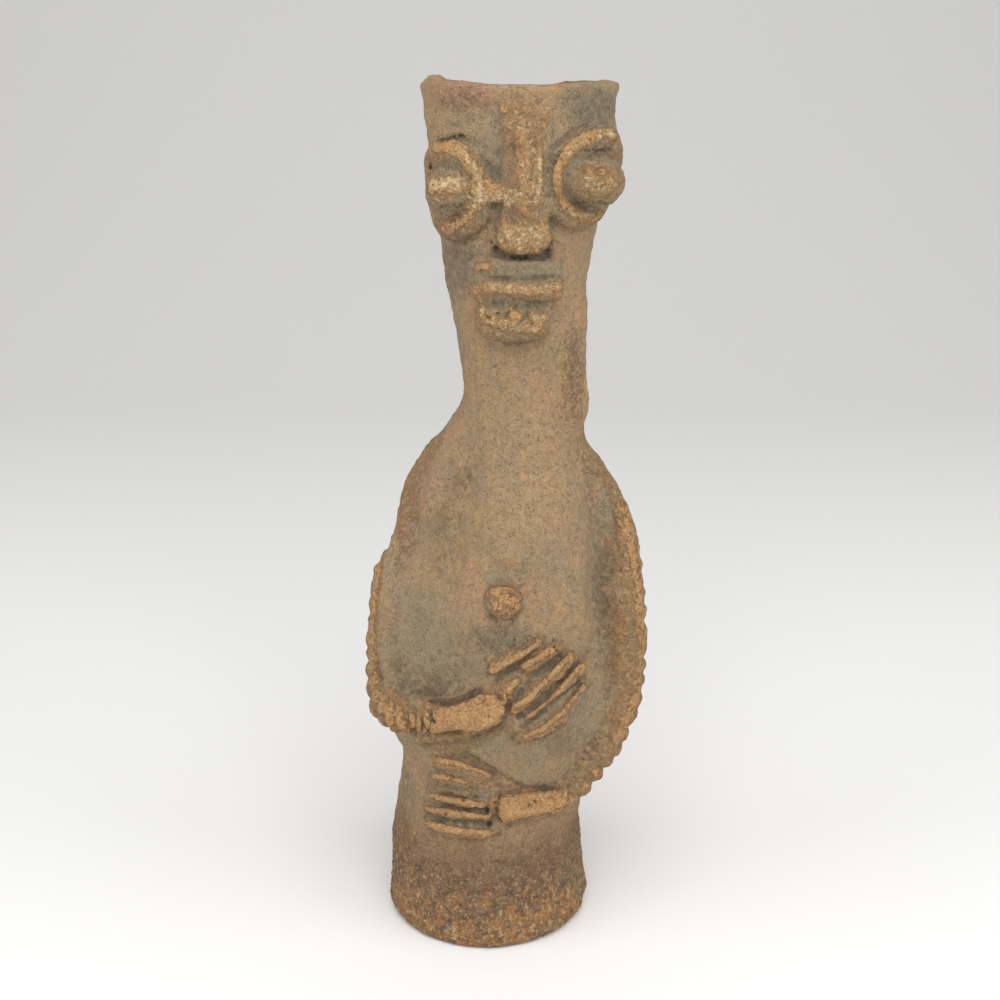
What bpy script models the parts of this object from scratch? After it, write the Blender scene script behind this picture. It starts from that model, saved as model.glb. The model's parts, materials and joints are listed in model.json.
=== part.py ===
"""Terracotta funerary figure, hand built in clay as one hollow piece and fired.

A closed-floored tube rises through an overhanging belly and a long neck to a head whose top is an open
mouth. Arms with pie-crust edges, hands, goggle eyes, nose, lips and navel are rolls and pellets of clay
laid on the tube's skin. The figure stands on the origin, faces -Y, and its up is +Z. Lengths are metres.
"""

import math

import bpy
from mathutils import Vector

# Driving sizes. The modelled form is laid out in parts of the figure's height, and its clay in metres.
HEIGHT = 0.504  # floor to the middle of the rim
WALL = 0.009  # thickness of the tube's wall
FLOOR = 0.012  # thickness of the closed bottom
FOOT_ROUND = 0.005  # rounding of the foot's outer edge
LIP_ROUND = 0.003  # rounding of the rim's outer and inner edges
CAVITY_ROUND = 0.004  # rounding of the cavity's bottom edge
SINK = WALL * 0.55  # how deep the laid-on clay is pressed into the wall

PARTS_TALL = 504
PART = HEIGHT / PARTS_TALL

# Mesh fineness
COLUMNS = 32  # faces round the tube
ROLL_SIDES = 8  # faces round a nose or lip
FINGER_SIDES = 6  # faces round a finger or eye ring
PELLET_SIDES = 11
PELLET_STEPS = 6
EYE_RING_STEPS = 18
NOTCH_STEPS = 3  # rings to one notch of an arm's edge

CLAY_COLOUR = (0.27, 0.185, 0.115, 1.0)
CLAY_ROUGHNESS = 0.9

# The tube, from the foot to the rim, in parts: height, middle's sideways place, half width,
# depth in front of the middle, depth behind it, squareness (2 is round) and sideways slope of the ring.
TUBE = (
    (0, 0, 62.5, 62.5, 62.5, 2.0, 0.0),
    (10, 0, 62.5, 62.5, 62.5, 2.0, 0.0),
    (22, -0.8, 61.2, 61.2, 61.2, 2.0, 0.0),
    (50, 0, 58.8, 58.8, 58.8, 2.0, 0.0),
    (78, 2, 57.5, 57.5, 58, 2.0, -0.05),
    (102, 4, 57, 58, 58, 2.0, -0.13),
    (116, 3.5, 63, 64, 59.5, 2.0, -0.15),
    (131, 5, 68.5, 69, 61, 2.1, -0.15),
    (148, 9, 73, 72, 62, 2.2, -0.12),
    (168, 12, 76, 73, 62, 2.2, -0.08),
    (188, 13, 76, 70.5, 61, 2.2, -0.03),
    (218, 13.5, 73.5, 65, 59, 2.2, 0.0),
    (248, 15, 66, 57, 55, 2.2, 0.0),
    (278, 15.5, 55.5, 49, 49, 2.1, 0.0),
    (300, 15.5, 46, 43, 44, 2.0, 0.0),
    (314, 18.5, 40.5, 39, 40, 2.0, 0.0),
    (328, 22, 36.5, 36, 37, 2.0, 0.0),
    (344, 22.5, 34.5, 35, 35, 2.0, 0.0),
    (370, 21.2, 37, 37, 37, 2.0, 0.0),
    (397, 19, 39, 39, 39.5, 2.1, 0.0),
    (420, 18, 42, 42, 42, 2.3, 0.0),
    (448, 19.5, 47.5, 45, 45, 2.5, 0.0),
    (475, 21, 51, 46.5, 47, 2.6, 0.0),
    (488, 19.5, 50.8, 46.5, 47, 2.6, 0.0),
    (504, 20, 53.5, 48, 48.5, 2.6, 0.0),
)
# Rings up the outside from the foot, and up the inside from the floor: up to which height, in which steps.
OUTER_SPANS = ((101, 4), (146, 6), (290, 8), (350, 4), (420, 3), (PARTS_TALL, 5))
INNER_SPANS = ((108, 3), (140, 2), (290, 4), (350, 2), (420, 1), (PARTS_TALL, 2))

# Hollows between the chest and the arms, in parts: height, then sideways place, half width and depth of
# the one by the figure's right arm, and the same of the one by its left arm.
HOLLOWS = (
    (104, -33, 22, 0, 50, 10, 0),
    (138, -34, 22, 6, 56, 13, 3),
    (178, -32, 22, 12, 61, 13, 8),
    (218, -27, 20, 13, 65, 13, 11),
    (258, -18, 15, 12, 65, 12, 11),
    (293, -10, 10, 8, 61, 10, 8),
    (326, -6, 8, 0, 57, 8, 0),
)

# The rim's uneven height, in parts: angle round the head in degrees, height above or below the middle.
RIM_WAVES = (
    (0, -0.5),
    (60, -1.5),
    (90, -6),
    (125, -1),
    (180, -0.5),
    (192, 1),
    (205, 4.5),
    (220, 2.2),
    (240, 1.5),
    (270, 0.2),
    (300, 1.2),
    (320, 1.5),
    (360, -0.5),
)
WAVES_FADE = 64  # how far below the rim its waves die out

# Arms, in parts. Each row: angle round the tube in degrees, height, width of the notched edge, width of the
# soft inner side, rise above the skin, and how far the notches reach over the arm, where 1 is right across.
# Angle 0 is the viewer's right, 90 the back, 180 the viewer's left and 270 the front.
RIGHT_ARM = (
    (178, 310, 5, 14, 1.5, 0.0),
    (181, 288, 8, 19, 4, 0.0),
    (183, 258, 9, 21, 7, 0.0),
    (185, 223, 10, 20, 8, 0.2),
    (186, 188, 10.5, 17, 8.5, 0.4),
    (189, 163, 11, 13, 9, 0.7),
    (199, 152, 11.5, 12, 9.5, 1),
    (212, 151, 11.5, 12, 10, 1),
    (227, 152, 11.5, 11.5, 10, 1),
    (242, 157, 11.5, 11.5, 10, 1),
    (257, 165, 11, 11, 9.5, 1),
    (270, 172, 10, 10, 8, 1),
)
LEFT_ARM = (
    (2, 313, 6, 15, 1.5, 0.0),
    (-5, 292, 9, 21, 5, 0.0),
    (-12, 262, 10, 28, 9, 0.0),
    (-17, 226, 11, 30, 10.5, 0.0),
    (-20, 188, 11, 29, 10.5, 0.1),
    (-22, 160, 11, 26, 11.5, 0.3),
    (-26, 136, 11, 19, 12.5, 0.6),
    (-32, 116, 11.5, 14, 14, 1),
    (-44, 102, 10.5, 12, 12.5, 1),
    (-62, 97, 9.5, 9.5, 10, 1),
    (-76, 96.5, 10.5, 10.5, 9, 1),
    (-88, 97, 11.5, 11.5, 8, 1),
)
NOTCH_PITCH = 10.0  # along the arm
NOTCH_DEPTH = 2.8
NOTCH_START = 40.0  # plain length at the shoulder
RIGHT_NOTCH_END = 220.0  # where the plain forearm begins
LEFT_NOTCH_END = 240.0
ARM_END_ROUND = 8
# Corners of an arm's cut face, from the notched edge over the crest to the inner side and under the skin:
# sideways place and lift, as shares of the edge's or the inner side's width and of the rise or the sink.
ARM_CORNERS = ((1, 0), (0.86, 0.68), (0.35, 1), (-0.25, 0.86), (-0.62, 0.36), (-1, -0.05), (0, -1))

# Fingers, thumb first, in parts: sideways place and height of the root, the middle and the tip, half width.
# The left hand's fingers lie on a broad palm, and the right hand's spread from a narrow one.
RIGHT_FINGERS = (
    ((3, 190), (17, 200), (32, 208), 3.2),
    ((21, 190), (32, 198), (44, 205), 4.8),
    ((16, 169), (33, 184), (49, 197), 4.4),
    ((21, 164), (38, 176), (54, 188), 3.8),
    ((17, 151), (40, 160), (55, 175), 4.0),
)
RIGHT_KNUCKLE = ((13, 172), (13.5, 182), (20, 187), 2.5)
LEFT_FINGERS = (
    ((5, 124), (-11, 128), (-29, 128), 4.0),
    ((-4, 119), (-17, 119), (-31, 115), 3.8),
    ((-5, 111), (-18, 110), (-32, 106), 3.8),
    ((-1, 102), (-17, 102), (-34, 98), 3.8),
    ((3, 93), (-17, 93), (-36.5, 88), 3.8),
    ((3, 81), (-19, 80), (-35, 80), 3.4),
)
FINGER_RISE = 5.5
FINGER_SINK = 3.0
FINGER_STEP = 10
FINGER_TAPER = 0.8
# Palms, in parts: sideways place, height, half width, half height, rise.
RIGHT_PALM = (15, 169, 10, 20, 5)
LEFT_PALM = (-12, 104, 21, 25, 3.5)

# Head, in parts. Eye rings and balls: sideways place, height, half width, half height, and rise of a ball.
EYE_RINGS = {"right": (-16, 452, 17.5, 18.5), "left": (56, 457.5, 20.5, 19.5)}
EYE_BALLS = {"right": (-17, 453, 15, 13.5, 13), "left": (58, 458, 17.5, 14.5, 17.5)}
EYE_RING_HALF_WIDTH = 4.5
EYE_RING_RISE = 6.0
EYE_CORNER = ((0, 449, 4, 4.5), (9, 451, 3, 3.5))
EYE_CORNER_STEP = 4
EYE_CORNER_END_ROUND = 2
# Rolls laid down or across the face: rows of sideways place, height, half width and rise.
NOSE = (
    (21.5, 493, 10, 2),
    (21.5, 482, 11.3, 5.5),
    (22, 460, 8.8, 7),
    (22, 445, 8.8, 8.5),
    (21.5, 434, 13, 12),
    (21.3, 426, 14.5, 13),
    (21.3, 419, 10, 9),
)
MOUTH_PAD = ((-2, 396, 17, 6), (17, 395, 20, 7), (36, 397, 17, 6))
UPPER_LIP = ((-3.5, 409, 5.5, 8), (17, 411, 6, 9), (38.5, 409, 5.5, 8))
LOWER_LIP = ((-4.6, 398.2, 4.6, 9.4), (17, 399.2, 5.2, 10.8), (39.4, 398.6, 4.6, 9.4))
CHIN = ((-1, 385, 8.5, 8), (16, 383, 10, 9.5), (32.5, 385, 8.5, 8))
FACE_SQUARENESS = 3.0
FACE_STEP = 8
FACE_END_ROUND = 4
NAVEL = (11, 229, 10.5, 9.5, 9)  # sideways place, height, half width, half height, rise


def smooth_row(rows, key):
    """The rows' values at one value of their first column, along a smooth curve through the rows."""
    last = len(rows) - 2
    at = next((i for i in range(last) if key < rows[i + 1][0]), last)
    start, end = rows[at], rows[at + 1]
    before, after = rows[max(at - 1, 0)], rows[min(at + 2, len(rows) - 1)]
    span = end[0] - start[0]
    share = (key - start[0]) / span
    values = [key]
    for column in range(1, len(start)):
        leave = (end[column] - before[column]) / (end[0] - before[0]) * span
        arrive = (after[column] - start[column]) / (after[0] - start[0]) * span
        rise = end[column] - start[column]
        bend = share * (1 - share)
        eased = start[column] + rise * share * share * (3 - 2 * share)
        values.append(eased + bend * ((1 - share) * leave - share * arrive))
    return values


def signed_power(value, power):
    """A power of a number's size that keeps its sign."""
    return math.copysign(abs(value) ** power, value)


def hollow_depth(sideways, ring_height):
    """How far the front of the tube is pressed in between chest and arms, in parts."""
    low, high = HOLLOWS[0][0], HOLLOWS[-1][0]
    if not low < ring_height < high:
        return 0.0
    _, place_a, width_a, depth_a, place_b, width_b, depth_b = smooth_row(HOLLOWS, ring_height)
    pressed = depth_a * math.exp(-(((sideways - place_a) / width_a) ** 2))
    return pressed + depth_b * math.exp(-(((sideways - place_b) / width_b) ** 2))


def tube_point(angle, ring_height, inset=0.0):
    """A point of the tube's surface, in parts. The inset, in parts, is towards the tube's middle."""
    _, middle, half_width, front, back, squareness, slope = smooth_row(TUBE, ring_height)
    turn = math.radians(angle)
    across = signed_power(math.cos(turn), 2 / squareness)
    along = signed_power(math.sin(turn), 2 / squareness)
    depth = front if along < 0 else back
    sideways = middle + (half_width - inset) * across
    deep = (depth - inset) * along
    if along < 0:
        deep += hollow_depth(sideways, ring_height) * min(1.0, -2 * along)
    return Vector((sideways, deep, ring_height + slope * (sideways - middle)))


def ring_height_at(angle, height):
    """The height of the ring that passes through one height at one angle, since some rings slope."""
    ring_height = height
    for _ in range(6):
        ring_height += height - tube_point(angle, ring_height).z
    return min(max(ring_height, 0.0), PARTS_TALL)


def skin(angle, height):
    """The skin's point at an angle and a height, and the outward normal there, in parts."""
    ring_height = ring_height_at(angle, height)
    point = tube_point(angle, ring_height)
    step = 1.5
    round_it = tube_point(angle + step, ring_height) - tube_point(angle - step, ring_height)
    up_it = tube_point(angle, min(ring_height + step, PARTS_TALL)) - tube_point(angle, ring_height - step)
    return point, round_it.cross(up_it).normalized()


def skin_near(place):
    """The skin's point and normal beside a place near it."""
    ring_height = place.z
    for _ in range(3):
        _, middle, half_width, front, back, squareness, slope = smooth_row(TUBE, ring_height)
        ring_height = min(max(place.z - slope * (place.x - middle), 0.0), PARTS_TALL)
    across = signed_power((place.x - middle) / half_width, squareness / 2)
    along = signed_power(place.y / (front if place.y < 0 else back), squareness / 2)
    return skin(math.degrees(math.atan2(along, across)), place.z)


def front_angle(sideways, height):
    """The angle at which the front of the tube has one sideways place, at one height."""
    angle = 270.0
    for _ in range(8):
        _, middle, half_width, _, _, squareness, _ = smooth_row(TUBE, ring_height_at(angle, height))
        across = min(max((sideways - middle) / half_width, -1), 1)
        angle = 360 - math.degrees(math.acos(signed_power(across, squareness / 2)))
    return angle


def clay():
    """The fired clay's material."""
    material = bpy.data.materials.new("fired clay")
    material.use_nodes = True
    shader = material.node_tree.nodes["Principled BSDF"]
    shader.inputs["Base Color"].default_value = CLAY_COLOUR
    shader.inputs["Roughness"].default_value = CLAY_ROUGHNESS
    return material


def solid_object(name, points, faces):
    """A mesh object from points, in parts, and faces."""
    mesh = bpy.data.meshes.new(name)
    mesh.from_pydata([point * PART for point in points], [], faces)
    mesh.update()
    piece = bpy.data.objects.new(name, mesh)
    bpy.context.scene.collection.objects.link(piece)
    return piece


def solid_of_rings(name, first_pole, rings, last_pole):
    """A closed mesh object from rings of points that end in a pole at each end."""
    sides = len(rings[0])
    points = [first_pole] + [point for ring in rings for point in ring] + [last_pole]
    top = 1 + (len(rings) - 1) * sides
    faces = []
    for side in range(sides):
        after = (side + 1) % sides
        faces.append((0, 1 + after, 1 + side))
        faces.append((len(points) - 1, top + side, top + after))
        for low in range(1, top, sides):
            high = low + sides
            faces.append((low + side, low + after, high + after, high + side))
    return solid_object(name, points, faces)


def closed_ring(name, sections):
    """A closed mesh object from cut faces that follow each other round a ring."""
    sides, count = len(sections[0]), len(sections)
    faces = []
    for at in range(count):
        here, ahead = at * sides, (at + 1) % count * sides
        for side in range(sides):
            beside = (side + 1) % sides
            faces.append((here + side, ahead + side, ahead + beside, here + beside))
    return solid_object(name, [point for section in sections for point in section], faces)


def steps_of(start, spans):
    """Heights that step evenly through each span, from the start to the last span's end."""
    heights = [start]
    for end, count in spans:
        low = heights[-1]
        heights += [low + (end - low) * (step + 1) / count for step in range(count)]
    return heights


def tube_ring(ring_height, inset=0.0, rise=0.0):
    """One ring of the tube, which follows the rim's waves where it is near the rim."""
    fade = max((ring_height - PARTS_TALL) / WAVES_FADE + 1, 0)
    ring = []
    for column in range(COLUMNS):
        angle = 360 * column / COLUMNS
        wave = fade * smooth_row(RIM_WAVES, angle)[1]
        ring.append(tube_point(angle, ring_height, inset) + Vector((0, 0, rise + wave)))
    return ring


def hollow_tube():
    """The tube with its floor, wall and rounded foot and rim, closed all over and open at the top."""
    wall, floor, cavity = WALL / PART, FLOOR / PART, CAVITY_ROUND / PART
    foot, lip = FOOT_ROUND / PART, LIP_ROUND / PART
    rounding = 0.3  # how far in a rounded edge still is at 0.3 of its way down or up
    outer = (*OUTER_SPANS[:-1], (PARTS_TALL - lip, OUTER_SPANS[-1][1]))
    inner = (*INNER_SPANS[:-1], (PARTS_TALL - lip, INNER_SPANS[-1][1]))
    rings = [tube_ring(0, foot), tube_ring(0, foot * rounding, foot * rounding)]
    rings += [tube_ring(height) for height in steps_of(foot, outer)]
    rings += [tube_ring(PARTS_TALL, lip * rounding, -lip * rounding), tube_ring(PARTS_TALL, lip)]
    rings += [tube_ring(PARTS_TALL, wall - lip)]
    rings += [tube_ring(PARTS_TALL, wall - lip * rounding, -lip * rounding)]
    rings += [tube_ring(height, wall) for height in reversed(steps_of(floor + cavity, inner))]
    rings += [tube_ring(floor, wall + cavity)]
    return solid_of_rings("funerary_figure", Vector((0, 0, 0)), rings, Vector((0, 0, floor)))


def rounded_end(distance, reach):
    """How full a roll is at a distance from its end, when the end is round."""
    if distance >= reach:
        return 1.0
    return math.sqrt(max(1 - (1 - distance / reach) ** 2, 0.0))


def roll_places(length, reach, step):
    """Places along a roll: close together at the round ends, at whole steps between them."""
    near = [0.04 * reach, 0.35 * reach]
    whole = [count * step for count in range(int(length / step) + 1)]
    even = [place for place in whole if 0.7 * reach < place < length - 0.7 * reach]
    return near + even + [length - place for place in reversed(near)]


def roll(name, rows, step, reach, cut_face):
    """A roll of clay along the skin. Rows start with angle and height, and cut_face reads the rest."""
    lengths = [0.0]
    for start, end in zip(rows, rows[1:]):
        lengths.append(lengths[-1] + (skin(*end[:2])[0] - skin(*start[:2])[0]).length)
    keyed = [(length, *row) for length, row in zip(lengths, rows)]
    total = lengths[-1]
    rings = []
    for place in roll_places(total, reach, step):
        _, angle, height, *form = smooth_row(keyed, place)
        point, normal = skin(angle, height)
        ahead = skin(*smooth_row(keyed, min(place + 1, total))[1:3])[0]
        behind = skin(*smooth_row(keyed, max(place - 1, 0))[1:3])[0]
        side = normal.cross(ahead - behind).normalized()
        full = min(rounded_end(place, reach), rounded_end(total - place, reach))
        ring = []
        for sideways, lift in cut_face(place, full, *form):
            foot, up = skin_near(point + side * sideways)
            ring.append(foot + up * lift)
        rings.append(ring)
    first = sum(rings[0], Vector()) / len(rings[0])
    last = sum(rings[-1], Vector()) / len(rings[-1])
    return solid_of_rings(name, first, rings, last)


def round_face(sides, sink, squareness=2.0):
    """The cut face of a plain roll: round above the skin, or squarer, and sunk below it."""

    def corners(_, full, half_width, rise):
        places = []
        for corner in range(sides):
            turn = 2 * math.pi * (corner + 0.5) / sides
            across = signed_power(math.cos(turn), 2 / squareness)
            lift = signed_power(math.sin(turn), 2 / squareness)
            height = rise * full if lift > 0 else sink * max(full, 0.3)
            places.append((half_width * full * across, height * lift))
        return places

    return corners


def arm_face(sink, notch_end, outer_side):
    """The cut face of an arm: a notched outer edge, a crest and a soft inner side."""

    def corners(place, full, edge, inner, rise, reach):
        groove = notch_at(place, notch_end)
        places = []
        for sideways, lift in ARM_CORNERS:
            width = (edge if sideways > 0 else inner) * full
            notched = groove if sideways > 0 else groove * reach
            raised = rise * full - notched if lift > 0 else sink * max(full, 0.3)
            pulled_in = notched if sideways > 0.8 and lift >= 0 else 0.0
            places.append((outer_side * (width * sideways - pulled_in), raised * lift))
        return places if outer_side > 0 else places[::-1]

    return corners


def notch_at(place, end):
    """Depth of the pie-crust notches at a place along an arm, in parts."""
    if not NOTCH_START <= place <= end:
        return 0.0
    return NOTCH_DEPTH * (1 - abs(math.sin(math.pi * (place - NOTCH_START) / NOTCH_PITCH)))


def front_roll(name, rows, step, reach, cut_face):
    """A roll whose rows give a sideways place on the front of the figure in place of an angle."""
    placed = [(front_angle(sideways, height), height, *rest) for sideways, height, *rest in rows]
    return roll(name, placed, step, reach, cut_face)


def pellet(name, sideways, height, half_width, half_height, rise, sink):
    """A pellet of clay pressed onto the front of the skin: a flattened ball that follows it."""
    point, normal = skin(front_angle(sideways, height), height)
    across = Vector((0, 0, 1)).cross(normal).normalized()
    up = normal.cross(across)
    rings = []
    for ring in range(1, PELLET_STEPS):
        tip = math.pi * ring / PELLET_STEPS
        lift = math.cos(tip) * (rise if math.cos(tip) > 0 else sink)
        rings.append([])
        for corner in range(PELLET_SIDES):
            turn = 2 * math.pi * corner / PELLET_SIDES
            out = across * half_width * math.cos(turn) - up * half_height * math.sin(turn)
            foot, outward = skin_near(point + out * math.sin(tip))
            rings[-1].append(foot + outward * lift)
    return solid_of_rings(name, point + normal * rise, rings, point - normal * sink)


def eye_ring(name, sideways, height, half_width, half_height, sink):
    """A roll bent into a ring round an eye, its ends closed on each other."""
    middle_angle = front_angle(sideways, height)
    here, beside = skin(middle_angle, height)[0], skin(middle_angle + 1, height)[0]
    degrees = half_width / (beside - here).length
    sections = []
    for step in range(EYE_RING_STEPS):
        turn = 2 * math.pi * step / EYE_RING_STEPS
        across, up = degrees * math.cos(turn), half_height * math.sin(turn)
        point, normal = skin(middle_angle + across, height + up)
        inside = skin(middle_angle + across * 0.9, height + up * 0.9)[0]
        side = (point - inside).normalized()
        section = []
        for corner in range(FINGER_SIDES):
            bend = 2 * math.pi * corner / FINGER_SIDES
            lift = math.sin(bend) * (EYE_RING_RISE if math.sin(bend) > 0 else sink)
            section.append(point + side * EYE_RING_HALF_WIDTH * math.cos(bend) + normal * lift)
        sections.append(section)
    return closed_ring(name, sections)


def arms(sink):
    """Both arms, from the shoulder round the belly to the wrist."""
    step = NOTCH_PITCH / NOTCH_STEPS
    right = roll("right_arm", RIGHT_ARM, step, ARM_END_ROUND, arm_face(sink, RIGHT_NOTCH_END, -1))
    left = roll("left_arm", LEFT_ARM, step, ARM_END_ROUND, arm_face(sink, LEFT_NOTCH_END, 1))
    return [right, left]


def hand(name, palm, fingers):
    """A hand: a flat palm and fingers of rolled clay."""
    pieces = [pellet(f"{name}_palm", *palm, FINGER_SINK)]
    cut_face = round_face(FINGER_SIDES, FINGER_SINK)
    for count, (root, middle, tip, thick) in enumerate(fingers):
        rows = [(*root, thick, FINGER_RISE), (*middle, thick, FINGER_RISE)]
        rows.append((*tip, thick * FINGER_TAPER, FINGER_RISE * FINGER_TAPER))
        pieces.append(front_roll(f"{name}_finger_{count + 1}", rows, FINGER_STEP, thick, cut_face))
    return pieces


def face(sink):
    """Eyes, nose, lips and chin."""
    pieces = []
    for side, ring in EYE_RINGS.items():
        pieces.append(eye_ring(f"{side}_eye_ring", *ring, sink * 0.8))
        pieces.append(pellet(f"{side}_eye_ball", *EYE_BALLS[side], sink))
    thin_face = round_face(FINGER_SIDES, FINGER_SINK)
    pieces.append(front_roll("eye_corner", EYE_CORNER, EYE_CORNER_STEP, EYE_CORNER_END_ROUND, thin_face))
    cut_face = round_face(ROLL_SIDES, sink, FACE_SQUARENESS)
    mouth = {"mouth_pad": MOUTH_PAD, "upper_lip": UPPER_LIP, "lower_lip": LOWER_LIP, "chin": CHIN}
    for name, rows in {"nose": NOSE, **mouth}.items():
        pieces.append(front_roll(name, rows, FACE_STEP, FACE_END_ROUND, cut_face))
    return pieces


def join_on(figure, pieces):
    """Unites the laid-on pieces with the tube, and keeps the pieces themselves as hidden guides."""
    laid_on = bpy.data.collections.new("laid_on_clay")
    bpy.context.scene.collection.children.link(laid_on)
    for piece in pieces:
        bpy.context.scene.collection.objects.unlink(piece)
        laid_on.objects.link(piece)
        piece.hide_render = True
        piece.display_type = "WIRE"
    union = figure.modifiers.new("laid-on clay", "BOOLEAN")
    union.operation = "UNION"
    union.operand_type = "COLLECTION"
    union.collection = laid_on
    union.solver = "EXACT"


def main():
    for old in list(bpy.data.objects):
        bpy.data.objects.remove(old)
    figure = hollow_tube()
    figure.data.materials.append(clay())
    sink = SINK / PART
    pieces = arms(sink)
    pieces += hand("right", RIGHT_PALM, (*RIGHT_FINGERS, RIGHT_KNUCKLE))
    pieces += hand("left", LEFT_PALM, LEFT_FINGERS)
    pieces += face(sink)
    pieces.append(pellet("navel", *NAVEL, sink))
    join_on(figure, pieces)


main()
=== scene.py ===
"""Looks of the terracotta funerary figure, made around the fixed frame of its solid.

The figure is one hand-built clay piece: a hollow tube with a floor, and rolls and pellets of clay laid on
its skin. Each is modelled here finely, in the place that the solid gives it, and all are fused into one
surface, which is then carved, wiped, pitted and crumbled, and gets the fired clay's worn and dirty finish,
with painted shade in its hollows, gaps, pits and creases and painted highlights on crests.

Heights and sideways places are in parts, of which the figure is about 508 tall. Places in the photograph's
picture are in pixels of its 1000 by 1000, across and down. The rest is in metres.

Left and right are the figure's own sides: its right side is at -X, on the viewer's left.
"""

import json
import math

import bpy
import numpy as np
from bpy.props import FloatProperty, FloatVectorProperty, IntProperty, PointerProperty
from mathutils import Matrix, Vector
from mathutils.bvhtree import BVHTree

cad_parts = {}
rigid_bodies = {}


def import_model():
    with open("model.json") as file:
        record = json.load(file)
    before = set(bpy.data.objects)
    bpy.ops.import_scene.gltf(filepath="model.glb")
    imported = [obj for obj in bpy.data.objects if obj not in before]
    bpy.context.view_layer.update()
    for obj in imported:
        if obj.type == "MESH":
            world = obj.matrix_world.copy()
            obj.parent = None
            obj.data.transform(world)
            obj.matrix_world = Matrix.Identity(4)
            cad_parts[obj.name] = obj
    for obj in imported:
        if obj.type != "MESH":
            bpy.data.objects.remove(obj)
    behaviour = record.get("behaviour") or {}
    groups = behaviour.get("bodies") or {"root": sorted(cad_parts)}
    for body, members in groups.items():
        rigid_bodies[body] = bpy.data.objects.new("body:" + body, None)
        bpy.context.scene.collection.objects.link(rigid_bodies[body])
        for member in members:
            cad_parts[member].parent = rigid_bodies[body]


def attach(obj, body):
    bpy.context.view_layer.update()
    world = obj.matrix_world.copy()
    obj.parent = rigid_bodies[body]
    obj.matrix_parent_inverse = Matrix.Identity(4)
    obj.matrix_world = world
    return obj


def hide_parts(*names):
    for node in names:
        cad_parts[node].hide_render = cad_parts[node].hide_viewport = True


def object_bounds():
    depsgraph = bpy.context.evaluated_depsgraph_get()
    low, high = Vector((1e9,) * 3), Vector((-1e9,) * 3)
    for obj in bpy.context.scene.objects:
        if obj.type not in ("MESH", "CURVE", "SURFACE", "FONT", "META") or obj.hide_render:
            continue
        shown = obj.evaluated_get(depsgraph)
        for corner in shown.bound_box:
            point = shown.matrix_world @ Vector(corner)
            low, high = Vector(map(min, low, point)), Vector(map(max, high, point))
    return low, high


bl_info = {
    "name": "Terracotta Funerary Figure",
    "version": (1, 0, 0),
    "blender": (4, 5, 0),
    "location": "View3D > Sidebar > Clay Figure",
    "description": "Hand-built clay figure with worn, dirty fired clay",
    "category": "Object",
}

NODE = "funerary_figure"
BODY = "root"
PIECE = "clay_figure"

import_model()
SOLID_LOW, SOLID_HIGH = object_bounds()

RIM_TOP = 508.15  # the rim's highest point, in parts
PART = (SOLID_HIGH.z - SOLID_LOW.z) / RIM_TOP
TUBE_TOP = 504  # height of the tube's last ring, in parts, before the rim's waves
WALL = 0.009
FLOOR = 0.012
FOOT_ROUND = 0.005
LIP_ROUND = 0.003
CAVITY_ROUND = 0.004
SINK = WALL * 0.55 / PART  # how deep the laid-on clay is pressed into the wall, in parts

# Mesh fineness before the clay is fused
COLUMNS = 160
RING_STEP = 3.0
CAVITY_STEP = 8.0
ROLL_SIDES = 22
FINGER_SIDES = 14
PELLET_SIDES = 40
PELLET_STEPS = 20
EYE_RING_STEPS = 72
NOTCH_STEPS = 9
SKIN_STEP = 1.5  # reach, in degrees and in parts, over which the skin's slope is read
END_STEPS = (0.02, 0.1, 0.25, 0.45, 0.7)  # where a roll's round end has its rings, as shares of its length
END_SINK = 0.3  # how much of its sink a roll keeps at its ends

# The tube, from the foot to the rim, in parts: height, middle's sideways place, half width,
# depth in front of the middle, depth behind it, squareness (2 is round) and sideways slope of the ring.
TUBE = (
    (0, 0.8, 62.3, 62.3, 62.3, 2.0, 0.0),
    (10, 1.2, 62.5, 62.3, 62.3, 2.0, 0.0),
    (22, 0.8, 61.4, 61.4, 61.4, 2.0, 0.0),
    (50, 0, 58.8, 58.8, 58.8, 2.0, 0.0),
    (78, 3, 56.5, 57.5, 58, 2.0, -0.05),
    (102, 5.2, 55.8, 58, 58, 2.0, -0.13),
    (116, 4.7, 61.8, 64, 59.5, 2.0, -0.15),
    (131, 5, 68.5, 69, 61, 2.1, -0.15),
    (148, 9, 73, 72, 62, 2.2, -0.12),
    (168, 12, 76, 73, 62, 2.2, -0.08),
    (188, 13, 76, 70.5, 61, 2.2, -0.03),
    (218, 12.8, 72.8, 65, 59, 2.2, 0.0),
    (248, 18.2, 62.8, 57, 55, 2.2, 0.0),
    (278, 14.2, 55.2, 49, 49, 2.1, 0.0),
    (300, 13.2, 43.8, 43, 44, 2.0, 0.0),
    (314, 18.4, 38.9, 39, 40, 2.0, 0.0),
    (328, 23.4, 36.4, 36, 37, 2.0, 0.0),
    (344, 23, 35.2, 35, 35, 2.0, 0.0),
    (370, 21.2, 37, 37, 37, 2.0, 0.0),
    (397, 19, 39, 39, 39.5, 2.1, 0.0),
    (420, 18, 42, 42, 42, 2.3, 0.0),
    (448, 19.5, 47.5, 45, 45, 2.5, 0.0),
    (475, 21, 51, 46.5, 47, 2.6, 0.0),
    (488, 19.5, 50.8, 46.5, 47, 2.6, 0.0),
    (504, 20, 53.5, 48, 48.5, 2.6, 0.0),
)

# Hollows pressed into the tube's front between chest and arms: height, then place, width and depth of the
# right one, then of the left one.
HOLLOWS = (
    (104, -33, 22, 0, 50, 10, 0),
    (138, -34, 22, 6, 56, 13, 3),
    (178, -32, 23, 15, 61, 13, 9),
    (218, -27, 21, 15, 64, 12, 13),
    (258, -18, 15, 12, 65, 12, 11),
    (293, -10, 10, 8, 61, 10, 8),
    (326, -6, 8, 0, 57, 8, 0),
)

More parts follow.
